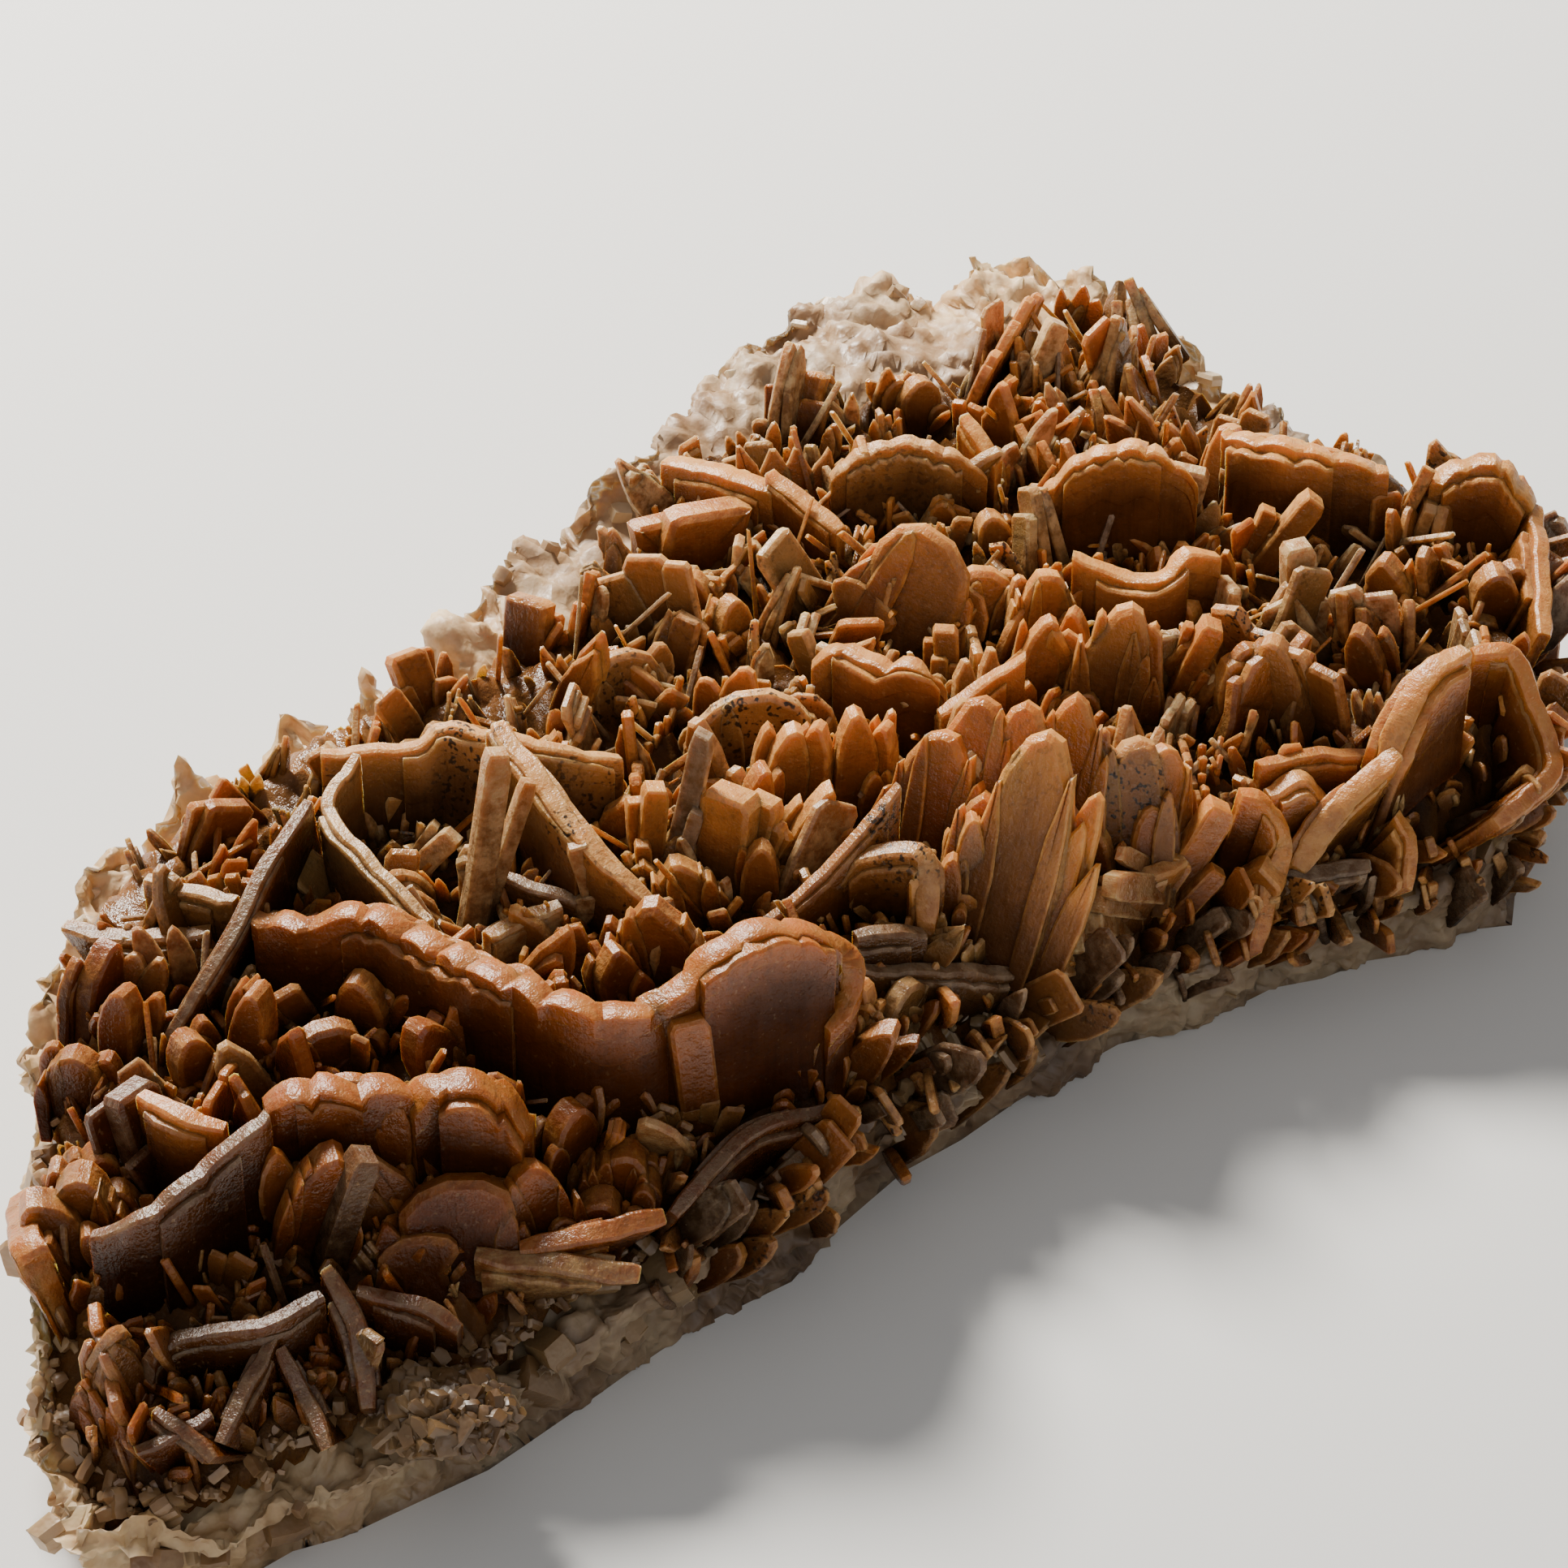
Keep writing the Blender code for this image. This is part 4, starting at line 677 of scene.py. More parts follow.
def add_fans(bed):
    """The big fans of stacked blades to the right of the middle."""
    bed.tongues(((1140, 1070), (1165, 897), 7.6, 5.0, 1.6, -15),
                ((1180, 1070), (1223, 856), 9.2, 5.0, 1.6, -12),
                ((1232, 1080), (1269, 860), 9.2, 4.4, 1.5, -8),
                ((1300, 1060), (1320, 852), 9.4, 4.0, 1.6, -5),
                ((1232, 1170), (1298, 895), 11.8, 5.6, 1.9, -8))
    bed.tongue((1385, 1085), (1389, 905), 8.0, 4.6, 2.0, 8, finish=SPECKLED)
    bed.tongues(((1430, 1075), (1440, 915), 7.6, 3.4, 1.5, 25),
                ((1190, 1110), (1196, 1003), 5.6, 1.8, 1.4, 10),
                ((1225, 1090), (1219, 997), 5.0, 1.5, 1.2, -20),
                ((1165, 1130), (1169, 1053), 4.0, 1.6, 1.2),
                ((1318, 1090), (1314, 988), 5.2, 2.6, 1.4, 15),
                ((1350, 1100), (1352, 1016), 4.6, 2.2, 1.3, -15),
                ((1300, 1130), (1296, 1060), 3.6, 2.0, 1.3, 20))
    bed.wall(((1157, 876), (1210, 838), (1264, 806)), (4.5, 6.5, 8.0), 1.6, 7.5, 1.0)
    bed.wall(((1000, 812), (1037, 786), (1070, 808), (1136, 812), (1160, 842)), (4.5, 6.0, 5.6, 5.8, 4.0),
            2.0, 7.0, 1.5, lobe=3.0, depth=0.5)
    bed.tongue((930, 945), (925, 850), 5.2, 6.6, 1.4, 5, form=FAN, finish=SPECKLED)
    bed.tongues(((1090, 790), (1172, 664), 6.5, 6.8, 1.6, -5),
                ((1205, 790), (1216, 700), 4.8, 4.2, 1.5, 10), form=FAN)
    bed.tongue((1280, 800), (1294, 700), 5.5, 3.6, 1.5, 15)
    bed.wall(((1322, 680), (1376, 703), (1426, 708), (1463, 676), (1500, 680)), (6.0, 5.0, 5.0, 6.5, 6.0),
            1.8, 7.5, 1.0)
    bed.tongues(((1268, 880), (1294, 758), 6.5, 2.6, 1.4, 15),
                ((1318, 850), (1327, 750), 5.6, 2.2, 1.4, -10),
                ((1360, 890), (1382, 742), 8.0, 4.4, 1.5, 5))
    bed.tongues(((1443, 870), (1497, 768), 6.0, 1.5, 1.5, 20),
                ((1165, 850), (1168, 772), 4.0, 1.6, 1.4), form=SQUARE)
    bed.tongues(((905, 800), (900, 735), 3.8, 2.4, 1.4, 30),
                ((860, 770), (850, 705), 3.8, 2.6, 1.4, -20))
    bed.tongue((775, 880), (770, 800), 4.2, 4.4, 1.4, 25, form=FAN, finish=SPECKLED)


def add_right_end(bed):
    """The arms, tall plates and steps towards the right end."""
    bed.tongues(((1526, 895), (1520, 808), 5.0, 2.8, 1.6, 20),
                ((1582, 900), (1566, 780), 6.8, 3.0, 1.6, -15))
    bed.tongue((1600, 790), (1598, 668), 7.0, 1.9, 1.6, 20, form=SQUARE, finish=PALE, layers=1)
    bed.tongue((1690, 855), (1675, 772), 5.0, 2.4, 1.4, -20)
    bed.wall(((1550, 938), (1620, 925), (1695, 926)), 3.4, 1.4, 5.0)
    bed.wall(((1562, 975), (1606, 955), (1636, 985)), (3.6, 4.6, 3.6), 1.8, 5.5)
    bed.wall(((1600, 1068), (1650, 992), (1723, 925)), (3.5, 6.0, 7.0), 1.8, 6.0)
    bed.wall(((1712, 925), (1735, 865), (1765, 820), (1805, 796)), (6.5, 8.0, 8.6, 8.4), 2.0, 8.0, 0.5)
    bed.wall(((1815, 800), (1862, 798), (1886, 845), (1912, 905), (1918, 950), (1880, 985), (1846, 1014)),
            (7.0, 7.0, 6.0, 4.6, 3.6, 3.0, 2.4), 1.5, 8.0, -1.5)
    bed.wall(((1723, 1000), (1745, 1040), (1737, 1095)), (3.5, 2.0, 0.5), 1.4, 5.0)
    bed.wall(((1586, 1080), (1640, 1070), (1690, 1064)), (3.0, 3.2, 3.0), 1.5, 5.5, finish=FROST)
    bed.wall(((1530, 975), (1560, 985), (1586, 1032), (1568, 1100), (1552, 1170)),
            (7.6, 7.2, 5.4, 2.4, -0.6), 1.6, 6.5)
    bed.tongue((1441, 1110), (1510, 990), 6.5, 1.9, 1.5, 30, form=SQUARE)
    bed.wall(((1461, 1055), (1400, 1080), (1362, 1108), (1335, 1150), (1300, 1190)),
            (4.4, 4.2, 3.6, 2.8, 1.6), 1.5, 6.0, 0.5, finish=SPECKLED)
    # Stepped rods with pale tips: partly their own white ends, partly painted highlights.
    for foot, tip, rise in (((1452, 1100), (1366, 1086), 5.0), ((1444, 1124), (1350, 1110), 4.4),
                            ((1428, 1146), (1344, 1136), 3.8), ((1408, 1168), (1322, 1160), 3.2),
                            ((1388, 1195), (1298, 1192), 2.4)):
        bed.tongue(foot, tip, rise, 1.7, 1.2, form=SQUARE, finish=TIPPED, layers=1)
    bed.tongue((1590, 1140), (1574, 1075), 3.8, 2.4, 1.4, 25, form=SQUARE)
    bed.tongue((1622, 1130), (1652, 1085), 2.6, 2.2, 1.4, 30)
    bed.wall(((1054, 1150), (1100, 1142), (1139, 1146)), 2.8, 1.4, 5.0, finish=FROST)
    bed.wall(((1058, 1190), (1157, 1190), (1250, 1196)), (2.2, 2.4, 2.0), 1.4, 4.5, finish=FROST)
    bed.tongues(((1068, 1350), (1097, 1260), 5.0, 2.2, 1.6, 10),
                ((1041, 1265), (1070, 1212), 3.2, 2.2, 1.3, -10))
    bed.tongue((1115, 1290), (1122, 1205), 4.0, 3.2, 1.2, 65, form=FAN, finish=OLIVE)
    bed.tongue((1840, 760), (1843, 700), 4.0, 3.0, 1.8, 15)
    bed.tongue((1711, 750), (1712, 686), 4.0, 3.0, 1.6, -20, form=POINT)
    bed.tongue((1450, 790), (1462, 735), 3.4, 2.4, 1.4, -25)


def add_far_plates(bed):
    """The paler plates, arches and sticks towards the far end."""
    bed.wall(((819, 563), (890, 575), (957, 600)), (4.0, 4.2, 4.0), 2.2, 6.0, 1.0)
    bed.tongue((865, 690), (862, 625), 3.8, 5.6, 2.4, 15, form=SQUARE)
    bed.wall(((950, 578), (992, 612), (1036, 650)), (5.0, 4.0, 3.0), 1.7, 5.5)
    bed.wall(((1023, 584), (1062, 552), (1115, 540), (1170, 552), (1214, 580)), (4.0, 6.0, 6.6, 6.0, 4.0),
            1.6, 8.0, 0.5, finish=GOLD, lobe=1.7, depth=0.45)
    bed.wall(((1189, 508), (1210, 540), (1230, 568)), (6.5, 5.5, 4.5), 1.4, 7.0)
    bed.tongues(((1258, 495), (1309, 396), 5.5, 1.6, 1.4, 25),
                ((1335, 480), (1383, 415), 4.0, 1.7, 1.4, 20), form=SQUARE, finish=PALE, layers=1)
    bed.tongues(((1161, 660), (1163, 612), 3.0, 2.0, 1.8),
                ((1225, 690), (1223, 630), 3.6, 2.6, 1.6, 15))
    bed.wall(((1283, 600), (1330, 558), (1394, 542), (1440, 556), (1472, 592)), (5.0, 7.4, 8.4, 7.6, 5.0),
            1.9, 9.5, 1.0, lobe=2.0, depth=0.5)
    bed.wall(((1511, 526), (1580, 538), (1650, 555), (1711, 576)), (6.5, 7.0, 6.5, 5.0), 2.0, 8.5, 1.5,
            lobe=2.4, depth=0.45)
    bed.tongue((1546, 708), (1622, 612), 5.5, 1.7, 1.6, 20, form=SQUARE)
    bed.wall(((1759, 585), (1805, 566), (1852, 566), (1894, 617)), (5.5, 6.5, 6.5, 4.5), 2.2, 8.0, 1.0,
            lobe=2.0, depth=0.45)
    bed.wall(((1896, 620), (1903, 700), (1905, 780)), (4.0, 3.4, 3.0), 1.4, 6.0)
    bed.tongues(((1500, 640), (1520, 520), 6.5, 3.0, 1.5, -25),
                ((1130, 520), (1136, 465), 3.2, 3.0, 1.6, 25))
    bed.tongue((960, 520), (985, 455), 3.6, 3.4, 1.5, -15, form=SQUARE)


def near_back_rim(x, y):
    """How close to the bare pale rim at the back, from 1 on the bed's edge to 0 further in."""
    return smooth(1.0 - distance_to((x, y), BACK_EDGE, False) / BACK_REACH)


def add_leaf(shells, rng, place, reach, length, width, thick, tone, finish, form, sink, facing=None,
             fine=False):
    """One small crystal that points along reach from its place."""
    across = reach.cross(facing or any_way(rng)).normalized()
    outline = face_outline(rng, form, width, length, sink, 2 if fine else 1, 0.10)
    plate(shells, rng, outline, place, across, reach, thick, tone, finish, 0.0, fine)


class Clearance:
    """Keeps small crystals from standing in front of the ones that the photograph shows one by one."""

    def __init__(self, heroes):
        points, faces = [], []
        for shells in (heroes.blades, heroes.sheets):
            base = len(points)
            points += shells.points
            faces += [tuple(base + i for i in face) for face in shells.faces]
        self.tree = BVHTree.FromPolygons(points, faces)

    def hides(self, tip, allowed):
        """Whether something whose tip is here covers a large crystal higher up than allowed."""
        if tip.z - crust_height(tip.x, tip.y) < 1.7:
            return False
        sight = tip - EYE
        hit, _, _, distance = self.tree.ray_cast(EYE, sight)
        if hit is None or distance < sight.length + 0.2:
            return False
        return hit.z - crust_height(hit.x, hit.y) > allowed


def on_bed(rng, margin, most=FAR_END):
    """A random place on the crust, at least this far from its edge."""
    while True:
        x, y = rng.uniform(-62, most), rng.uniform(-34, 33)
        if inside((x, y), BED_PLAN) and distance_to((x, y), BED_PLAN) > margin:
            return x, y


def add_sheaves(shells, rng, clear, count, sizes, fine, most=FAR_END):
    """Groups of blades that stand side by side and open like a fan."""
    made = 0
    while made < count:
        x, y = on_bed(rng, 0.4, most)
        turn = 2.5 * noise.noise(Vector((0.07 * x, 0.07 * y, 1.7))) + rng.uniform(-1.3, 1.3)
        facing = Vector((math.cos(turn + 0.8), math.sin(turn + 0.8), rng.uniform(-0.3, 0.3))).normalized()
        lean = rng.uniform(-0.85, 0.85)
        stem = (Vector((0, 0, 1)) + Vector((math.cos(turn), math.sin(turn), 0)) * lean).normalized()
        stem = (stem - facing * stem.dot(facing)).normalized()
        across = facing.cross(stem)
        number = rng.choice((1, 2, 2, 3, 4, 5))
        size = rng.uniform(*sizes) * (1.0 - 0.55 * near_back_rim(x, y))
        form = rng.choice((LEAF, ROUND, SQUARE, SQUARE, POINT, POINT))
        finish = rng.choice((AMBER, AMBER, AMBER, AMBER, GOLD, GOLD, GOLD, SPECKLED, OLIVE, PALE))
        if x > 8.0 and y > 13.0:
            finish = rng.choice((GOLD, GOLD, PALE, OLIVE))
        tone = lit(x, y, rng)
        cards = rng.random() < 0.5
        spread = rng.uniform(0.08, 0.26)
        thick = size * rng.uniform(0.11, 0.19)
        for k in range(number):
            apart = k - (number - 1) / 2
            angle = spread * apart + rng.uniform(-0.05, 0.05)
            swing = Matrix.Rotation(angle, 3, facing if cards else across)
            reach, normal = swing @ stem, swing @ facing
            shift = across * (0.30 * size * apart) if cards else facing * (1.3 * thick * apart)
            shift += facing * (0.4 * thick * rng.uniform(-1, 1))
            place = Vector((x, y, 0.0)) + shift
            place.z = crust_height(place.x, place.y) - 0.2
            length = size * rng.uniform(0.8, 1.35)
            made += 1
            if clear.hides(place + reach * length, 1.8):
                continue
            add_leaf(shells, rng, place, reach, length, size * rng.uniform(0.34, 0.62), thick,
                     varied(tone, rng, 0.15), finish, form, 0.9, normal, fine)


def add_companions(shells, rng, feet):
    """Short crystals that crowd around the feet of the large ones."""
    for foot, width in feet:
        for _ in range(3):
            angle = rng.uniform(0.0, 2.0 * math.pi)
            apart = rng.uniform(0.4, 0.9) * width * 0.6 + 0.5
            x, y = foot.x + apart * math.cos(angle), foot.y + apart * math.sin(angle)
            if not inside((x, y), BED_PLAN):
                continue
            lean = rng.uniform(0.1, 0.8)
            reach = Vector((lean * math.cos(angle), lean * math.sin(angle), 1.0)).normalized()
            add_leaf(shells, rng, Vector((x, y, crust_height(x, y) - 0.2)), reach, rng.uniform(1.2, 2.8),
                     rng.uniform(0.8, 2.0), rng.uniform(0.3, 0.6), lit(x, y, rng),
                     rng.choice((AMBER, AMBER, OLIVE)), rng.choice((ROUND, LEAF, POINT)), 0.8)


def add_needles(shells, rng, clear, count):
    """Thin sticks that lie across the gaps."""
    made = 0
    while made < count:
        x, y = on_bed(rng, 2.5)
        heading = rng.uniform(0.0, 2.0 * math.pi)
        tilt = rng.uniform(0.4, 1.35)
        flat = math.sin(tilt)
        reach = Vector((math.cos(heading) * flat, math.sin(heading) * flat, math.cos(tilt)))
        place = Vector((x, y, crust_height(x, y) + rng.uniform(-0.1, 0.8)))
        width = rng.uniform(0.22, 0.5)
        length = rng.uniform(2.5, 6.5)
        made += 1
        if clear.hides(place + reach * length, 3.0):
            continue
        add_leaf(shells, rng, place, reach, length, width, width * rng.uniform(0.6, 0.95),
                 lit(x, y, rng), rng.choice((AMBER, AMBER, STICK, PALE)), SQUARE, 0.8)


def add_skirt(shells, rng, count):
    """Short dark blades that stick out of the broken front wall, below the large crystals."""
    plan = [Vector((x, y, 0.0)) for x, y in MATRIX_PLAN[:FRONT_POINTS + 4]]
    for _ in range(count):
        k = rng.randrange(5, len(plan) - 1)
        along = plan[k + 1] - plan[k]
        spot = plan[k] + along * rng.random()
        along.normalize()
        outward = Vector((along.y, -along.x, 0.0))
        top = crust_height(spot.x - outward.x, spot.y - outward.y)
        spot.z = top - (top - 2.0) * rng.random() ** 1.6
        reach = outward * rng.uniform(0.25, 0.7) + Vector((0, 0, rng.uniform(0.2, 0.9)))
        reach += along * rng.uniform(-0.6, 0.6)
        length = rng.uniform(2.5, 5.5)
        add_leaf(shells, rng, spot - outward * 1.2, reach.normalized(), length,
                 length * rng.uniform(0.3, 0.6), rng.uniform(0.3, 0.8), rng.uniform(0.25, 0.7),
                 rng.choice((GOLD, AMBER, STICK, SPECKLED)), rng.choice((ROUND, SQUARE, POINT)), 0.8,
                 along, True)


def facet(p, scale, salt, most):
    """Height of a surface broken into tilted flat facets, one for each cell of space."""
    cell = noise.voronoi(p * scale)[1][0]
    tilt = noise.cell_vector(cell * 37.0 + Vector((salt, salt, salt)))
    height = (p - cell / scale).dot(tilt * 2.0 - Vector((1.0, 1.0, 1.0)))
    return most * math.tanh(0.6 * height / most)


def kept_near(x, y, loop, most):
    """This point, or the one on the way to it from the loop that is only this far outside."""
    if inside((x, y), loop):
        return x, y
    apart, px, py = nearest_on((x, y), loop)
    share = min(most / apart, 1.0) if apart > 0.0 else 1.0
    return px + (x - px) * share, py + (y - py) * share


def make_crust(material):
    """The rough ground between the crystals, as a closed slab of small facets."""
    step, corner = CRUST_STEP, CRUST_CORNER
    columns, rows = int(CRUST_SIZE[0] / step), int(CRUST_SIZE[1] / step)
    used = {}
    shells = Shells()
    points, rise, grain = [], [], []

    def number(i, j):
        if (i, j) not in used:
            x, y = kept_near(corner[0] + i * step, corner[1] + j * step, BED_PLAN, 0.5)
            lump = noise.fractal(Vector((0.5 * x, 0.5 * y, 3.0)), 1.0, 2.0, 3)
            used[i, j] = len(points) // 2
            past = distance_to((x, y), BED_PLAN) * (1.0 if inside((x, y), BED_PLAN) else -1.0)
            level = crust_height(x, y) - 1.3 * smooth((0.9 - past) / 1.6)
            broken = facet(Vector((x, y, 0.0)), 0.75, 2.0, 0.55) + facet(Vector((x, y, 4.0)), 0.33, 2.0, 0.5)
            points.append((x + 0.3 * lump, y - 0.3 * lump, level + 0.6 * lump + broken))
            points.append((x, y, level - 1.0))
            for _ in range(2):
                # The crust is painted dark, as shade in the hollows between the crystals; lighter in random
                # lumps and towards the bare rim at the back.
                rise.append(0.12 + 0.2 * lump + 0.45 * near_back_rim(x, y))
                grain.append((x, y, 0.0))
        return 2 * used[i, j]

    cells = set()
    for i in range(columns):
        for j in range(rows):
            middle = (corner[0] + (i + 0.5) * step, corner[1] + (j + 0.5) * step)
            if inside(middle, BED_PLAN) or distance_to(middle, BED_PLAN) < 0.5:
                cells.add((i, j))
    faces = []
    for i, j in sorted(cells):
        a, b, c, d = number(i, j), number(i + 1, j), number(i + 1, j + 1), number(i, j + 1)
        faces += [(a, b, c), (a, c, d), (a + 1, c + 1, b + 1), (a + 1, d + 1, c + 1)]
        for di, dj, p, q in ((0, -1, a, b), (1, 0, b, c), (0, 1, c, d), (-1, 0, d, a)):
            if (i + di, j + dj) not in cells:
                faces += [(p, p + 1, q + 1), (p, q + 1, q)]
    shells.add(points, faces, 0.6, [0.0] * len(points), rise, GOLD, grain)
    return shells.make("crystal_crust", material, "crystals", 0.0, 60.0)


def make_matrix(material):
    """The pale base, broken into coarse grains, from the solid's own faces."""
    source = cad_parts["matrix"].data
    mesh = source.copy()
    mesh.name = "matrix_stone"
    mesh.materials.clear()
    bm = bmesh.new()
    bm.from_mesh(mesh)
    bmesh.ops.remove_doubles(bm, verts=bm.verts, dist=1e-6)
    shown = {e for f in bm.faces if max(v.co.z for v in f.verts) > BASE_FACE * MM for e in f.edges}
    bmesh.ops.subdivide_edges(bm, edges=list(shown), cuts=MATRIX_CUTS, use_grid_fill=True)
    raised = [v for v in bm.verts if v.co.z > SMOOTHED_ABOVE * MM]
    bmesh.ops.smooth_vert(bm, verts=raised, factor=0.5, use_axis_x=True, use_axis_y=True, use_axis_z=True)
    bm.normal_update()
    moved = []
    for v in bm.verts:
        p = v.co / MM
        if p.z < BASE_FACE:
            moved.append(v.co.copy())
            continue
        lump = noise.fractal(p * 0.13, 1.0, 2.0, 3)
        facets = facet(p, 0.33, 1.0, 0.42) + facet(p, 0.8, 5.0, 0.26) + facet(p, 1.7, 9.0, 0.12)
        place = v.co + v.normal * (MM * (1.0 * lump + facets - 0.35))
        moved.append(Vector(boxed(np.array(place))))
    for v, place in zip(bm.verts, moved):
        v.co = place
    bm.to_mesh(mesh)
    bm.free()
    mesh.shade_smooth()
    mesh.set_sharp_from_angle(angle=math.radians(32.0))
    mesh.materials.append(material)
    piece = bpy.data.objects.new("matrix_stone", mesh)
    bpy.context.scene.collection.objects.link(piece)
    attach(piece, "root")
    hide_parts("matrix")
    return piece


def add_matrix_grains(shells, rng, stone, count):
    """Blocky crystals half sunk in the bare faces of the matrix."""
    mesh = stone.data
    mesh.calc_loop_triangles()
    triangles = mesh.loop_triangles
    made = 0
    while made < count:
        triangle = triangles[rng.randrange(len(triangles))]
        corners = [mesh.vertices[i].co / MM for i in triangle.vertices]
        place = sum(corners, Vector()) / 3
        normal = triangle.normal
        if place.z < 1.6 or (inside(place, BED_PLAN) and normal.z > 0.3):
            continue
        if normal.z < 0.3 and rng.random() < 0.55:
            continue
        made += 1
        reach = (normal + 0.9 * any_way(rng)).normalized()
        size = rng.uniform(0.8, 2.2)
        form = rng.choice((SQUARE, SQUARE, POINT))
        add_leaf(shells, rng, place - normal * 0.6 * size, reach, size * rng.uniform(0.7, 1.0), size,
                 size * rng.uniform(0.35, 0.9), rng.random(), AMBER, form, 0.5 * size)


def add_grain(shells, rng, place, size):
    """One blocky crystal of the matrix, turned any way."""
    reach = Vector((rng.uniform(-1, 1), rng.uniform(-1, 1), rng.uniform(0.1, 1))).normalized()
    add_leaf(shells, rng, place - reach * 0.5 * size, reach, size * rng.uniform(0.7, 1.1),
             size * rng.uniform(0.6, 1.0), size * rng.uniform(0.35, 0.8), 0.35 * rng.random(), AMBER,
             rng.choice((SQUARE, POINT, LEAF)), 0.4 * size)


def add_seam_grains(shells, rng, count):
    """Grains where the crust thins out on the bare matrix, around the near end."""
    seam = [Vector((x, y, 0.0)) for x, y in NEAR_SEAM]
    for _ in range(count):
        k = rng.randrange(len(seam) - 1)
        spot = seam[k].lerp(seam[k + 1], rng.random())
        spot += Vector((rng.gauss(0.0, 0.9), rng.gauss(0.0, 0.9), 0.0))
        spot.z = crust_height(spot.x, spot.y) - rng.uniform(0.2, 0.9)
        add_grain(shells, rng, spot, 0.4 + 1.0 * rng.random() ** 2)


def add_sugar(shells, rng, count):
    """The sugary mass of matrix that stands up between the star and the front edge."""
    for _ in range(count):
        angle, far = rng.uniform(0.0, 2.0 * math.pi), math.sqrt(rng.random())
        pixel = (SUGAR[0] + SUGAR[2] * far * math.cos(angle), SUGAR[1] + SUGAR[3] * far * math.sin(angle))
        place = over_crust(pixel, 1.3 * (1.0 - far * far) * rng.uniform(0.3, 1.0))
        add_grain(shells, rng, place, 0.5 + 1.1 * rng.random() ** 2)


class Tree:
    """A short way to write a material's nodes."""

    def __init__(self, name):
        self.material = bpy.data.materials.new(name)
        self.material.use_nodes = True
        self.nodes = self.material.node_tree.nodes
        self.links = self.material.node_tree.links
        self.shader = self.nodes["Principled BSDF"]

    def put(self, target, value):
        if isinstance(value, bpy.types.NodeSocket):
            self.links.new(value, target)
        else:
            target.default_value = value

    def node(self, kind, **values):
        made = self.nodes.new(kind)
        for key, value in values.items():
            if hasattr(made, key) and key not in made.inputs:
                setattr(made, key, value)
            else:
                self.put(made.inputs[key.replace("_", " ")], value)
        return made

    def attribute(self, name):
        return self.node("ShaderNodeAttribute", attribute_name=name)

    def math(self, operation, a, b=0.0, clamp=False):
        made = self.nodes.new("ShaderNodeMath")
        made.operation = operation
        made.use_clamp = clamp
        self.put(made.inputs[0], a)
        self.put(made.inputs[1], b)
        return made.outputs[0]

    def mix(self, factor, a, b, kind='MIX'):
        made = self.nodes.new("ShaderNodeMix")
        made.data_type = 'RGBA'
        made.blend_type = kind
        self.put(made.inputs[0], factor)
        self.put(made.inputs[6], a)
        self.put(made.inputs[7], b)
        return made.outputs[2]

    def ramp(self, factor, stops):
        made = self.nodes.new("ShaderNodeValToRGB")
        self.put(made.inputs[0], factor)
        row = made.color_ramp.elements
        while len(row) < len(stops):
            row.new(1.0)
        for element, (position, colour) in zip(row, stops):
            element.position = position
            element.color = (*colour, 1.0) if isinstance(colour, tuple) else (colour,) * 3 + (1.0,)
        return made.outputs[0]

    def noise(self, vector, scale, detail=4.0, rough=0.55):
        made = self.nodes.new("ShaderNodeTexNoise")
        self.put(made.inputs["Vector"], vector)
        made.inputs["Scale"].default_value = scale
        made.inputs["Detail"].default_value = detail
        made.inputs["Roughness"].default_value = rough
        return made.outputs[0]

    def stretched(self, vector, scale):
        made = self.nodes.new("ShaderNodeVectorMath")
        made.operation = 'MULTIPLY'
        self.put(made.inputs[0], vector)
        made.inputs[1].default_value = scale
        return made.outputs[0]

    def bump(self, height, strength, distance, before=None):
        made = self.nodes.new("ShaderNodeBump")
        made.inputs["Strength"].default_value = strength
        made.inputs["Distance"].default_value = distance
        self.put(made.inputs["Height"], height)
        if before is not None:
            self.links.new(before, made.inputs["Normal"])
        return made.outputs[0]

    def surface(self, colour, roughness, normal, subsurface, radius, depth, ior):
        self.put(self.shader.inputs["Base Color"], colour)
        self.put(self.shader.inputs["Roughness"], roughness)
        self.put(self.shader.inputs["Normal"], normal)
        self.shader.inputs["Subsurface Weight"].default_value = subsurface
        self.shader.inputs["Subsurface Radius"].default_value = radius
        self.shader.inputs["Subsurface Scale"].default_value = depth
        self.shader.inputs["IOR"].default_value = ior
        return self.material


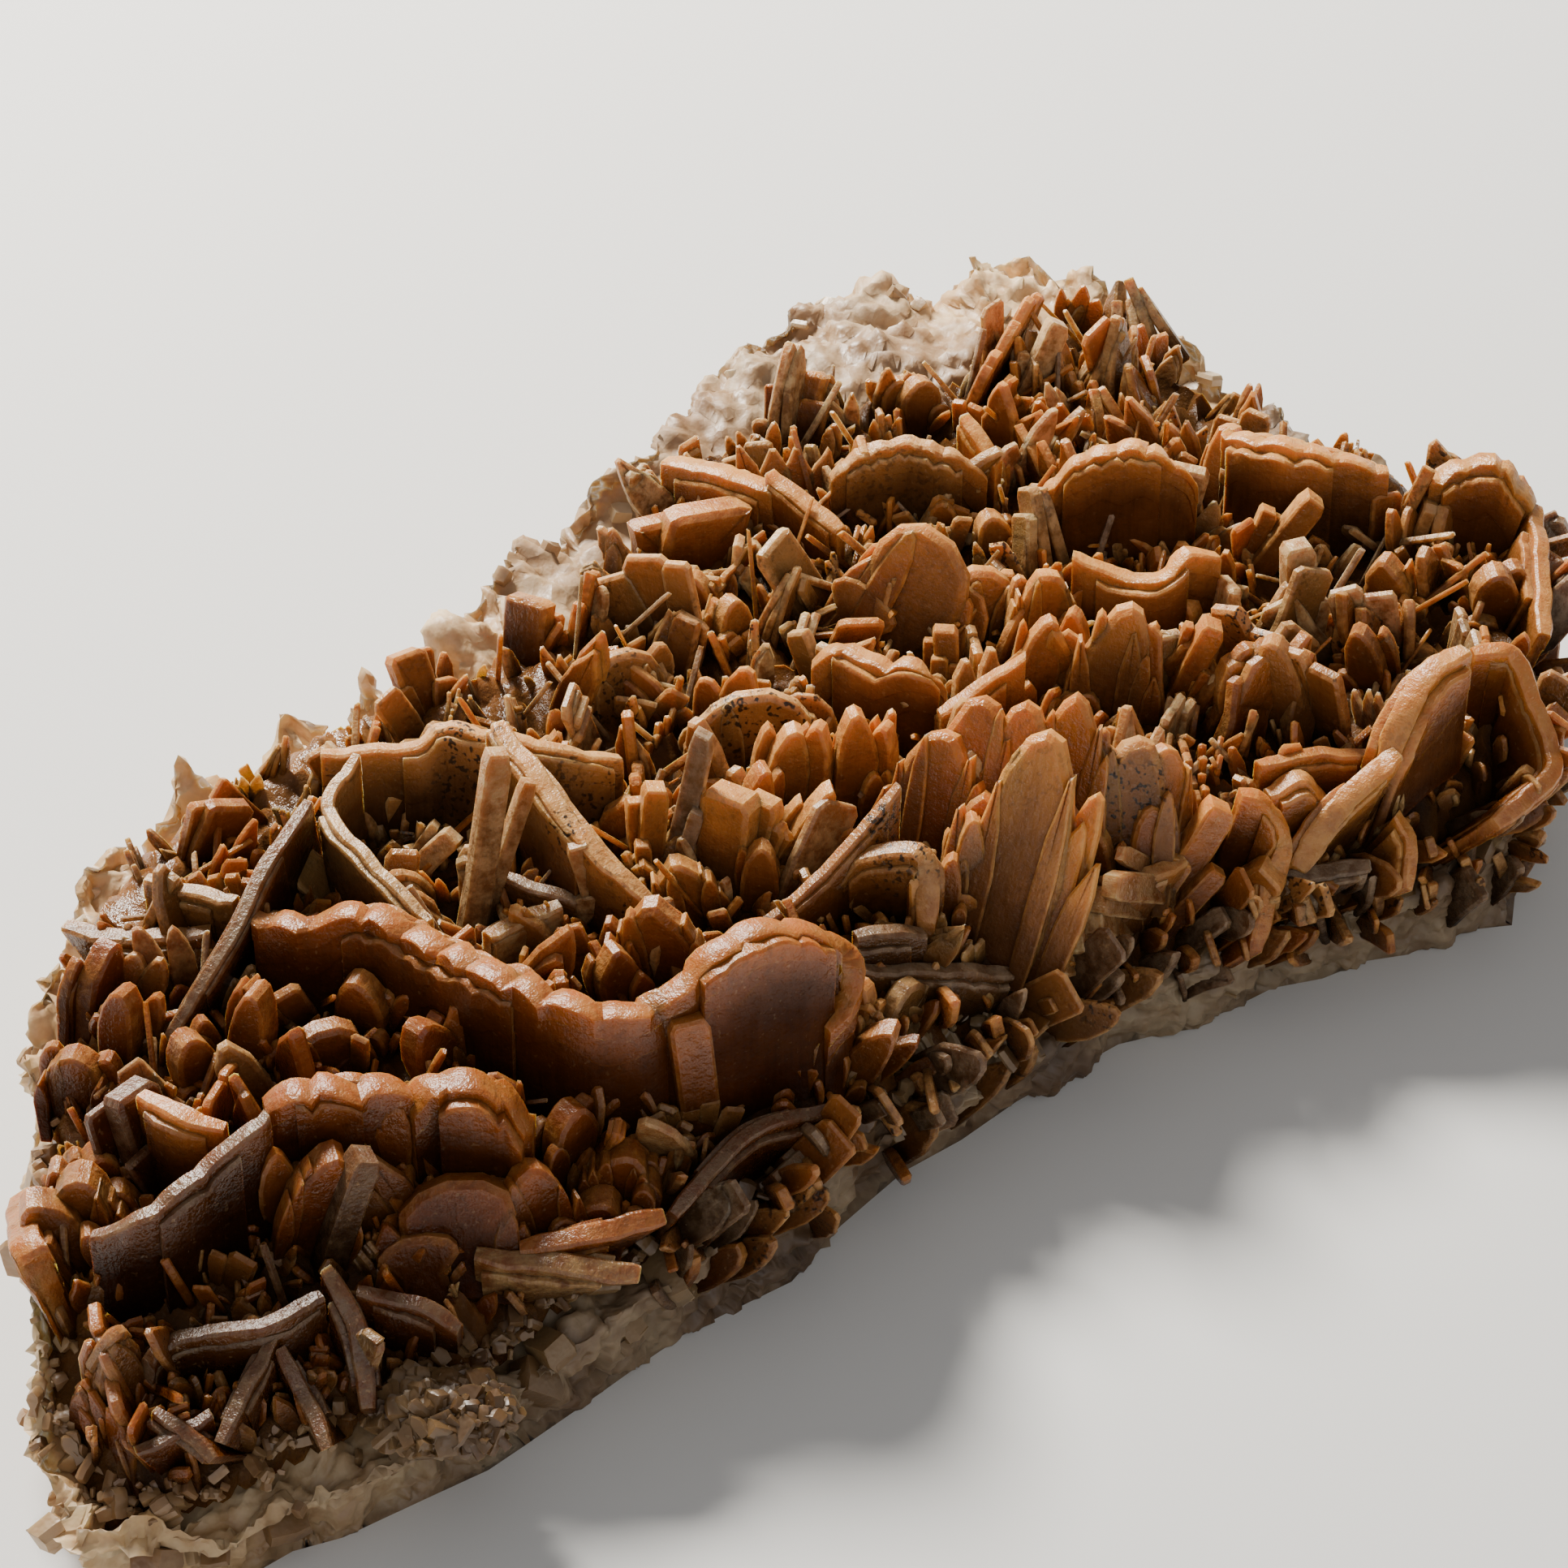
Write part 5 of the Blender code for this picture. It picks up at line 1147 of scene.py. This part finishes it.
def crystal_material():
    """Translucent orange-brown barite, pale and frosted on the rim, with painted shade dark at the foot and
    a painted glow at the tip.
    """
    t = Tree("amber barite")
    place = t.node("ShaderNodeTexCoord").outputs["Object"]
    grain = t.attribute("grain").outputs["Vector"]
    tone, rim = t.attribute("tone").outputs["Fac"], t.attribute("rim").outputs["Fac"]
    rise, frosted = t.attribute("rise").outputs["Fac"], t.attribute("frost").outputs["Fac"]
    spots, drab = t.attribute("spots").outputs["Fac"], t.attribute("olive").outputs["Fac"]

    cloud = t.noise(place, 230.0, 3.0)
    streak = t.noise(t.stretched(grain, (5.0, 0.30, 1.0)), 1.0, 2.0)
    # The rise carries painted shade low down and a painted glow high up; cloud and streak vary it at random.
    climb = t.math('ADD', rise, t.math('MULTIPLY', t.math('SUBTRACT', cloud, 0.5), 0.75))
    climb = t.math('ADD', climb, t.math('MULTIPLY', t.math('SUBTRACT', streak, 0.5), 0.12))
    amber = t.ramp(climb, ((0.0, (0.052, 0.0175, 0.0055)), (0.34, (0.150, 0.051, 0.0125)),
                           (0.66, (0.37, 0.126, 0.0235)), (1.0, (0.80, 0.30, 0.050))))
    olive = t.ramp(climb, ((0.0, (0.036, 0.019, 0.008)), (0.4, (0.150, 0.080, 0.026)),
                           (1.0, (0.44, 0.25, 0.085))))
    colour = t.mix(drab, amber, olive)
    # Painted shade: crystals of low tone, towards the near end and the front, are darker; frosted bodies are
    # darker in their own colour.
    shade = t.mix(1.0, t.ramp(tone, ((0.0, (0.50, 0.345, 0.20)), (1.0, (1.0, 1.0, 1.0)))),
                  t.ramp(frosted, ((0.3, 1.0), (1.0, 0.42))), 'MULTIPLY')
    colour = t.mix(1.0, colour, shade, 'MULTIPLY')
    rusty = t.ramp(t.noise(place, 120.0, 1.0), ((0.40, 1.0), (0.66, (0.84, 0.60, 0.42))))
    colour = t.mix(0.4, colour, rusty, 'MULTIPLY')
    coat = t.ramp(frosted, ((0.0, (0.74, 0.37, 0.11)), (0.5, (0.70, 0.49, 0.25)),
                            (1.0, (0.34, 0.24, 0.155))))
    chips = t.ramp(t.noise(place, 1000.0, 3.0, 0.68), ((0.38, 0.12), (0.60, 1.0)))
    # The rim's coat takes the painted shade too: darker with low tone, and fading out towards the foot with
    # the rise.
    coat = t.mix(1.0, coat, t.ramp(tone, ((0.0, (0.44, 0.36, 0.27)), (1.0, (1.0, 1.0, 1.0)))), 'MULTIPLY')
    rim_coat_cover = t.math('MULTIPLY', t.math('MULTIPLY', t.math('POWER', rim, 1.2), chips),
                  t.ramp(rise, ((0.05, 0.1), (0.55, 1.0))))
    colour = t.mix(t.math('MULTIPLY', rim_coat_cover, t.ramp(frosted, ((0.0, 0.62), (0.5, 0.9)))), colour, coat)
    fleck = t.ramp(t.noise(place, 2300.0, 1.0, 0.7), ((0.56, 0.0), (0.63, 0.85)))
    patch = t.ramp(t.noise(place, 210.0, 1.0), ((0.46, 0.0), (0.58, 1.0)))
    dark = t.math('MULTIPLY', t.math('MULTIPLY', fleck, patch), t.math('ADD', spots, 0.12), True)
    colour = t.mix(dark, colour, (0.022, 0.012, 0.006, 1.0))

    dust = t.ramp(t.noise(place, 3000.0, 1.0), ((0.67, 0.0), (0.74, 0.25)))
    colour = t.mix(t.math('MULTIPLY', dust, rise), colour, (0.60, 0.40, 0.20, 1.0))

    roughness = t.ramp(t.math('ADD', cloud, t.math('MULTIPLY', rim, 0.45)), ((0.3, 0.15), (0.95, 0.40)))
    t.put(t.shader.inputs["Specular IOR Level"], t.ramp(rise, ((0.2, 0.03), (0.75, 0.36))))
    relief = t.bump(streak, 0.20, 0.00018)
    relief = t.bump(t.noise(place, 1600.0, 3.0, 0.75), 0.6, 0.00026, relief)
    return t.surface(colour, roughness, relief, 0.5, (1.0, 0.66, 0.36), 0.0015, 1.63)


def matrix_material():
    """Cream to grey-olive crystalline stone, stained ochre and brown, with painted shade along its front
    side.
    """
    t = Tree("pale matrix")
    place = t.node("ShaderNodeTexCoord").outputs["Object"]
    across = t.node("ShaderNodeSeparateXYZ", Vector=place)
    cloud = t.noise(place, 95.0, 4.0, 0.6)
    grit = t.noise(place, 700.0, 3.0, 0.65)
    cream = t.ramp(cloud, ((0.30, (0.42, 0.24, 0.10)), (0.44, (0.60, 0.39, 0.19)),
                           (0.60, (0.78, 0.59, 0.36)), (0.80, (0.54, 0.32, 0.13))))
    tan = t.ramp(cloud, ((0.30, (0.22, 0.12, 0.055)), (0.50, (0.40, 0.26, 0.14)),
                         (0.72, (0.58, 0.45, 0.29))))
    drab = t.ramp(cloud, ((0.30, (0.055, 0.030, 0.014)), (0.46, (0.17, 0.105, 0.055)),
                          (0.60, (0.34, 0.255, 0.155)), (0.80, (0.13, 0.070, 0.032))))
    # The front side turns to the dark drab colours: its own olive-brown, darkened further as painted shade.
    front = t.math('MULTIPLY', t.math('SUBTRACT', 0.006, across.outputs["Y"]), 90.0, True)
    beyond = t.math('MULTIPLY', t.math('SUBTRACT', across.outputs["X"], 0.002), 90.0, True)
    corner = t.math('MULTIPLY', t.math('SUBTRACT', 0.054, across.outputs["X"]), 200.0, True)
    colour = t.mix(t.math('MULTIPLY', beyond, corner), cream, tan)
    colour = t.mix(front, colour, drab)
    colour = t.mix(0.55, colour, t.ramp(grit, ((0.35, (0.62, 0.46, 0.30)), (0.6, 1.0))), 'MULTIPLY')
    cells = t.node("ShaderNodeTexVoronoi", Scale=620.0, Vector=place)
    relief = t.bump(cells.outputs["Distance"], 0.45, 0.0005)
    relief = t.bump(grit, 0.35, 0.0003, relief)
    roughness = t.ramp(grit, ((0.3, 0.38), (0.7, 0.68)))
    return t.surface(colour, roughness, relief, 0.15, (1.0, 0.7, 0.42), 0.0018, 1.6)


def grain_material():
    """Small clear-to-cream crystals on the matrix."""
    t = Tree("matrix grains")
    place = t.node("ShaderNodeTexCoord").outputs["Object"]
    across = t.node("ShaderNodeSeparateXYZ", Vector=place)
    tone = t.attribute("tone").outputs["Fac"]
    cloud = t.noise(place, 110.0, 4.0, 0.6)
    colour = t.ramp(t.math('ADD', cloud, t.math('MULTIPLY', t.math('SUBTRACT', tone, 0.5), 0.35)),
                    ((0.25, (0.24, 0.13, 0.06)), (0.42, (0.46, 0.32, 0.18)), (0.6, (0.68, 0.55, 0.38)),
                     (0.85, (0.58, 0.42, 0.24))))
    # Painted shade: the grains are darker towards the near end and along the front side.
    near = t.math('MULTIPLY', t.math('SUBTRACT', -0.030, across.outputs["X"]), 60.0, True)
    colour = t.mix(near, colour, t.mix(1.0, colour, (0.66, 0.56, 0.44, 1.0), 'MULTIPLY'))
    front = t.math('MULTIPLY', t.math('SUBTRACT', 0.006, across.outputs["Y"]), 90.0, True)
    colour = t.mix(front, colour, t.mix(1.0, colour, (0.34, 0.28, 0.20, 1.0), 'MULTIPLY'))
    relief = t.bump(t.noise(place, 2400.0, 1.0), 0.3, 0.0002)
    return t.surface(colour, 0.42, relief, 0.2, (1.0, 0.72, 0.45), 0.0016, 1.6)


def make_stage():
    """A pale floor, soft studio lights and the photograph's camera."""
    bpy.ops.mesh.primitive_plane_add(size=4.0, location=(0.0, 0.0, 0.0))
    floor = bpy.context.object
    floor.name = "floor"
    t = Tree("pale floor")
    t.put(t.shader.inputs["Base Color"], (0.72, 0.72, 0.71, 1.0))
    t.put(t.shader.inputs["Roughness"], 0.85)
    floor.data.materials.append(t.material)

    world = bpy.data.worlds.new("studio")
    bpy.context.scene.world = world
    world.use_nodes = True
    world.node_tree.nodes["Background"].inputs[0].default_value = (1.0, 0.98, 0.96, 1.0)
    world.node_tree.nodes["Background"].inputs[1].default_value = AMBIENT

    def area(name, place, size, power, colour):
        light = bpy.data.lights.new(name, 'AREA')
        light.shape = 'DISK'
        light.size = size
        light.energy = power
        light.color = colour
        holder = bpy.data.objects.new(name, light)
        holder.location = place
        holder.rotation_euler = (AIM - Vector(place)).to_track_quat('-Z', 'Y').to_euler()
        bpy.context.scene.collection.objects.link(holder)

    area("key", *KEY)
    area("fill", *FILL)

    right, up, forward = view_axes()
    data = bpy.data.cameras.new("photograph")
    data.sensor_width = SENSOR
    data.lens = SENSOR * FOCAL_PIXELS / FRAME_PIXELS
    data.clip_start = 0.005
    camera = bpy.data.objects.new("photograph", data)
    camera.matrix_world = Matrix((right, up, -forward)).transposed().to_4x4()
    camera.location = EYE * MM
    bpy.context.scene.collection.objects.link(camera)
    bpy.context.scene.camera = camera


def main():
    crystal = crystal_material()
    stone = make_matrix(matrix_material())
    crust = make_crust(crystal)
    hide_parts("crystal_bed")

    heroes = Heroes(random.Random(21))
    add_front_plates(heroes)
    add_near_end(heroes)
    add_left_middle(heroes)
    add_fans(heroes)
    add_right_end(heroes)
    add_far_plates(heroes)
    heroes.blades.make("large_blades", crystal, "crystals", 0.55)
    heroes.sheets.make("crested_plates", crystal, "crystals", 0.3)

    clear = Clearance(heroes)
    medium = Shells()
    add_sheaves(medium, random.Random(5), clear, *MEDIUM_SHEAVES, True)
    add_companions(medium, random.Random(6), heroes.feet)
    add_skirt(medium, random.Random(10), SKIRT_BLADES)
    medium.make("medium_crystals", crystal, "crystals", 0.45)
    small = Shells()
    add_sheaves(small, random.Random(9), clear, *SMALL_SHEAVES, False)
    add_sheaves(small, random.Random(12), clear, *NEAR_SHEAVES, False, NEAR_END)
    add_needles(small, random.Random(7), clear, NEEDLES)
    small.make("small_crystals", crystal, "crystals", 0.35)

    grains = Shells()
    add_matrix_grains(grains, random.Random(8), stone, LOOSE_GRAINS)
    add_seam_grains(grains, random.Random(14), SEAM_GRAINS)
    add_sugar(grains, random.Random(15), SUGAR_GRAINS)
    grains.make("matrix_grains", grain_material(), "matrix")
    make_stage()


main()
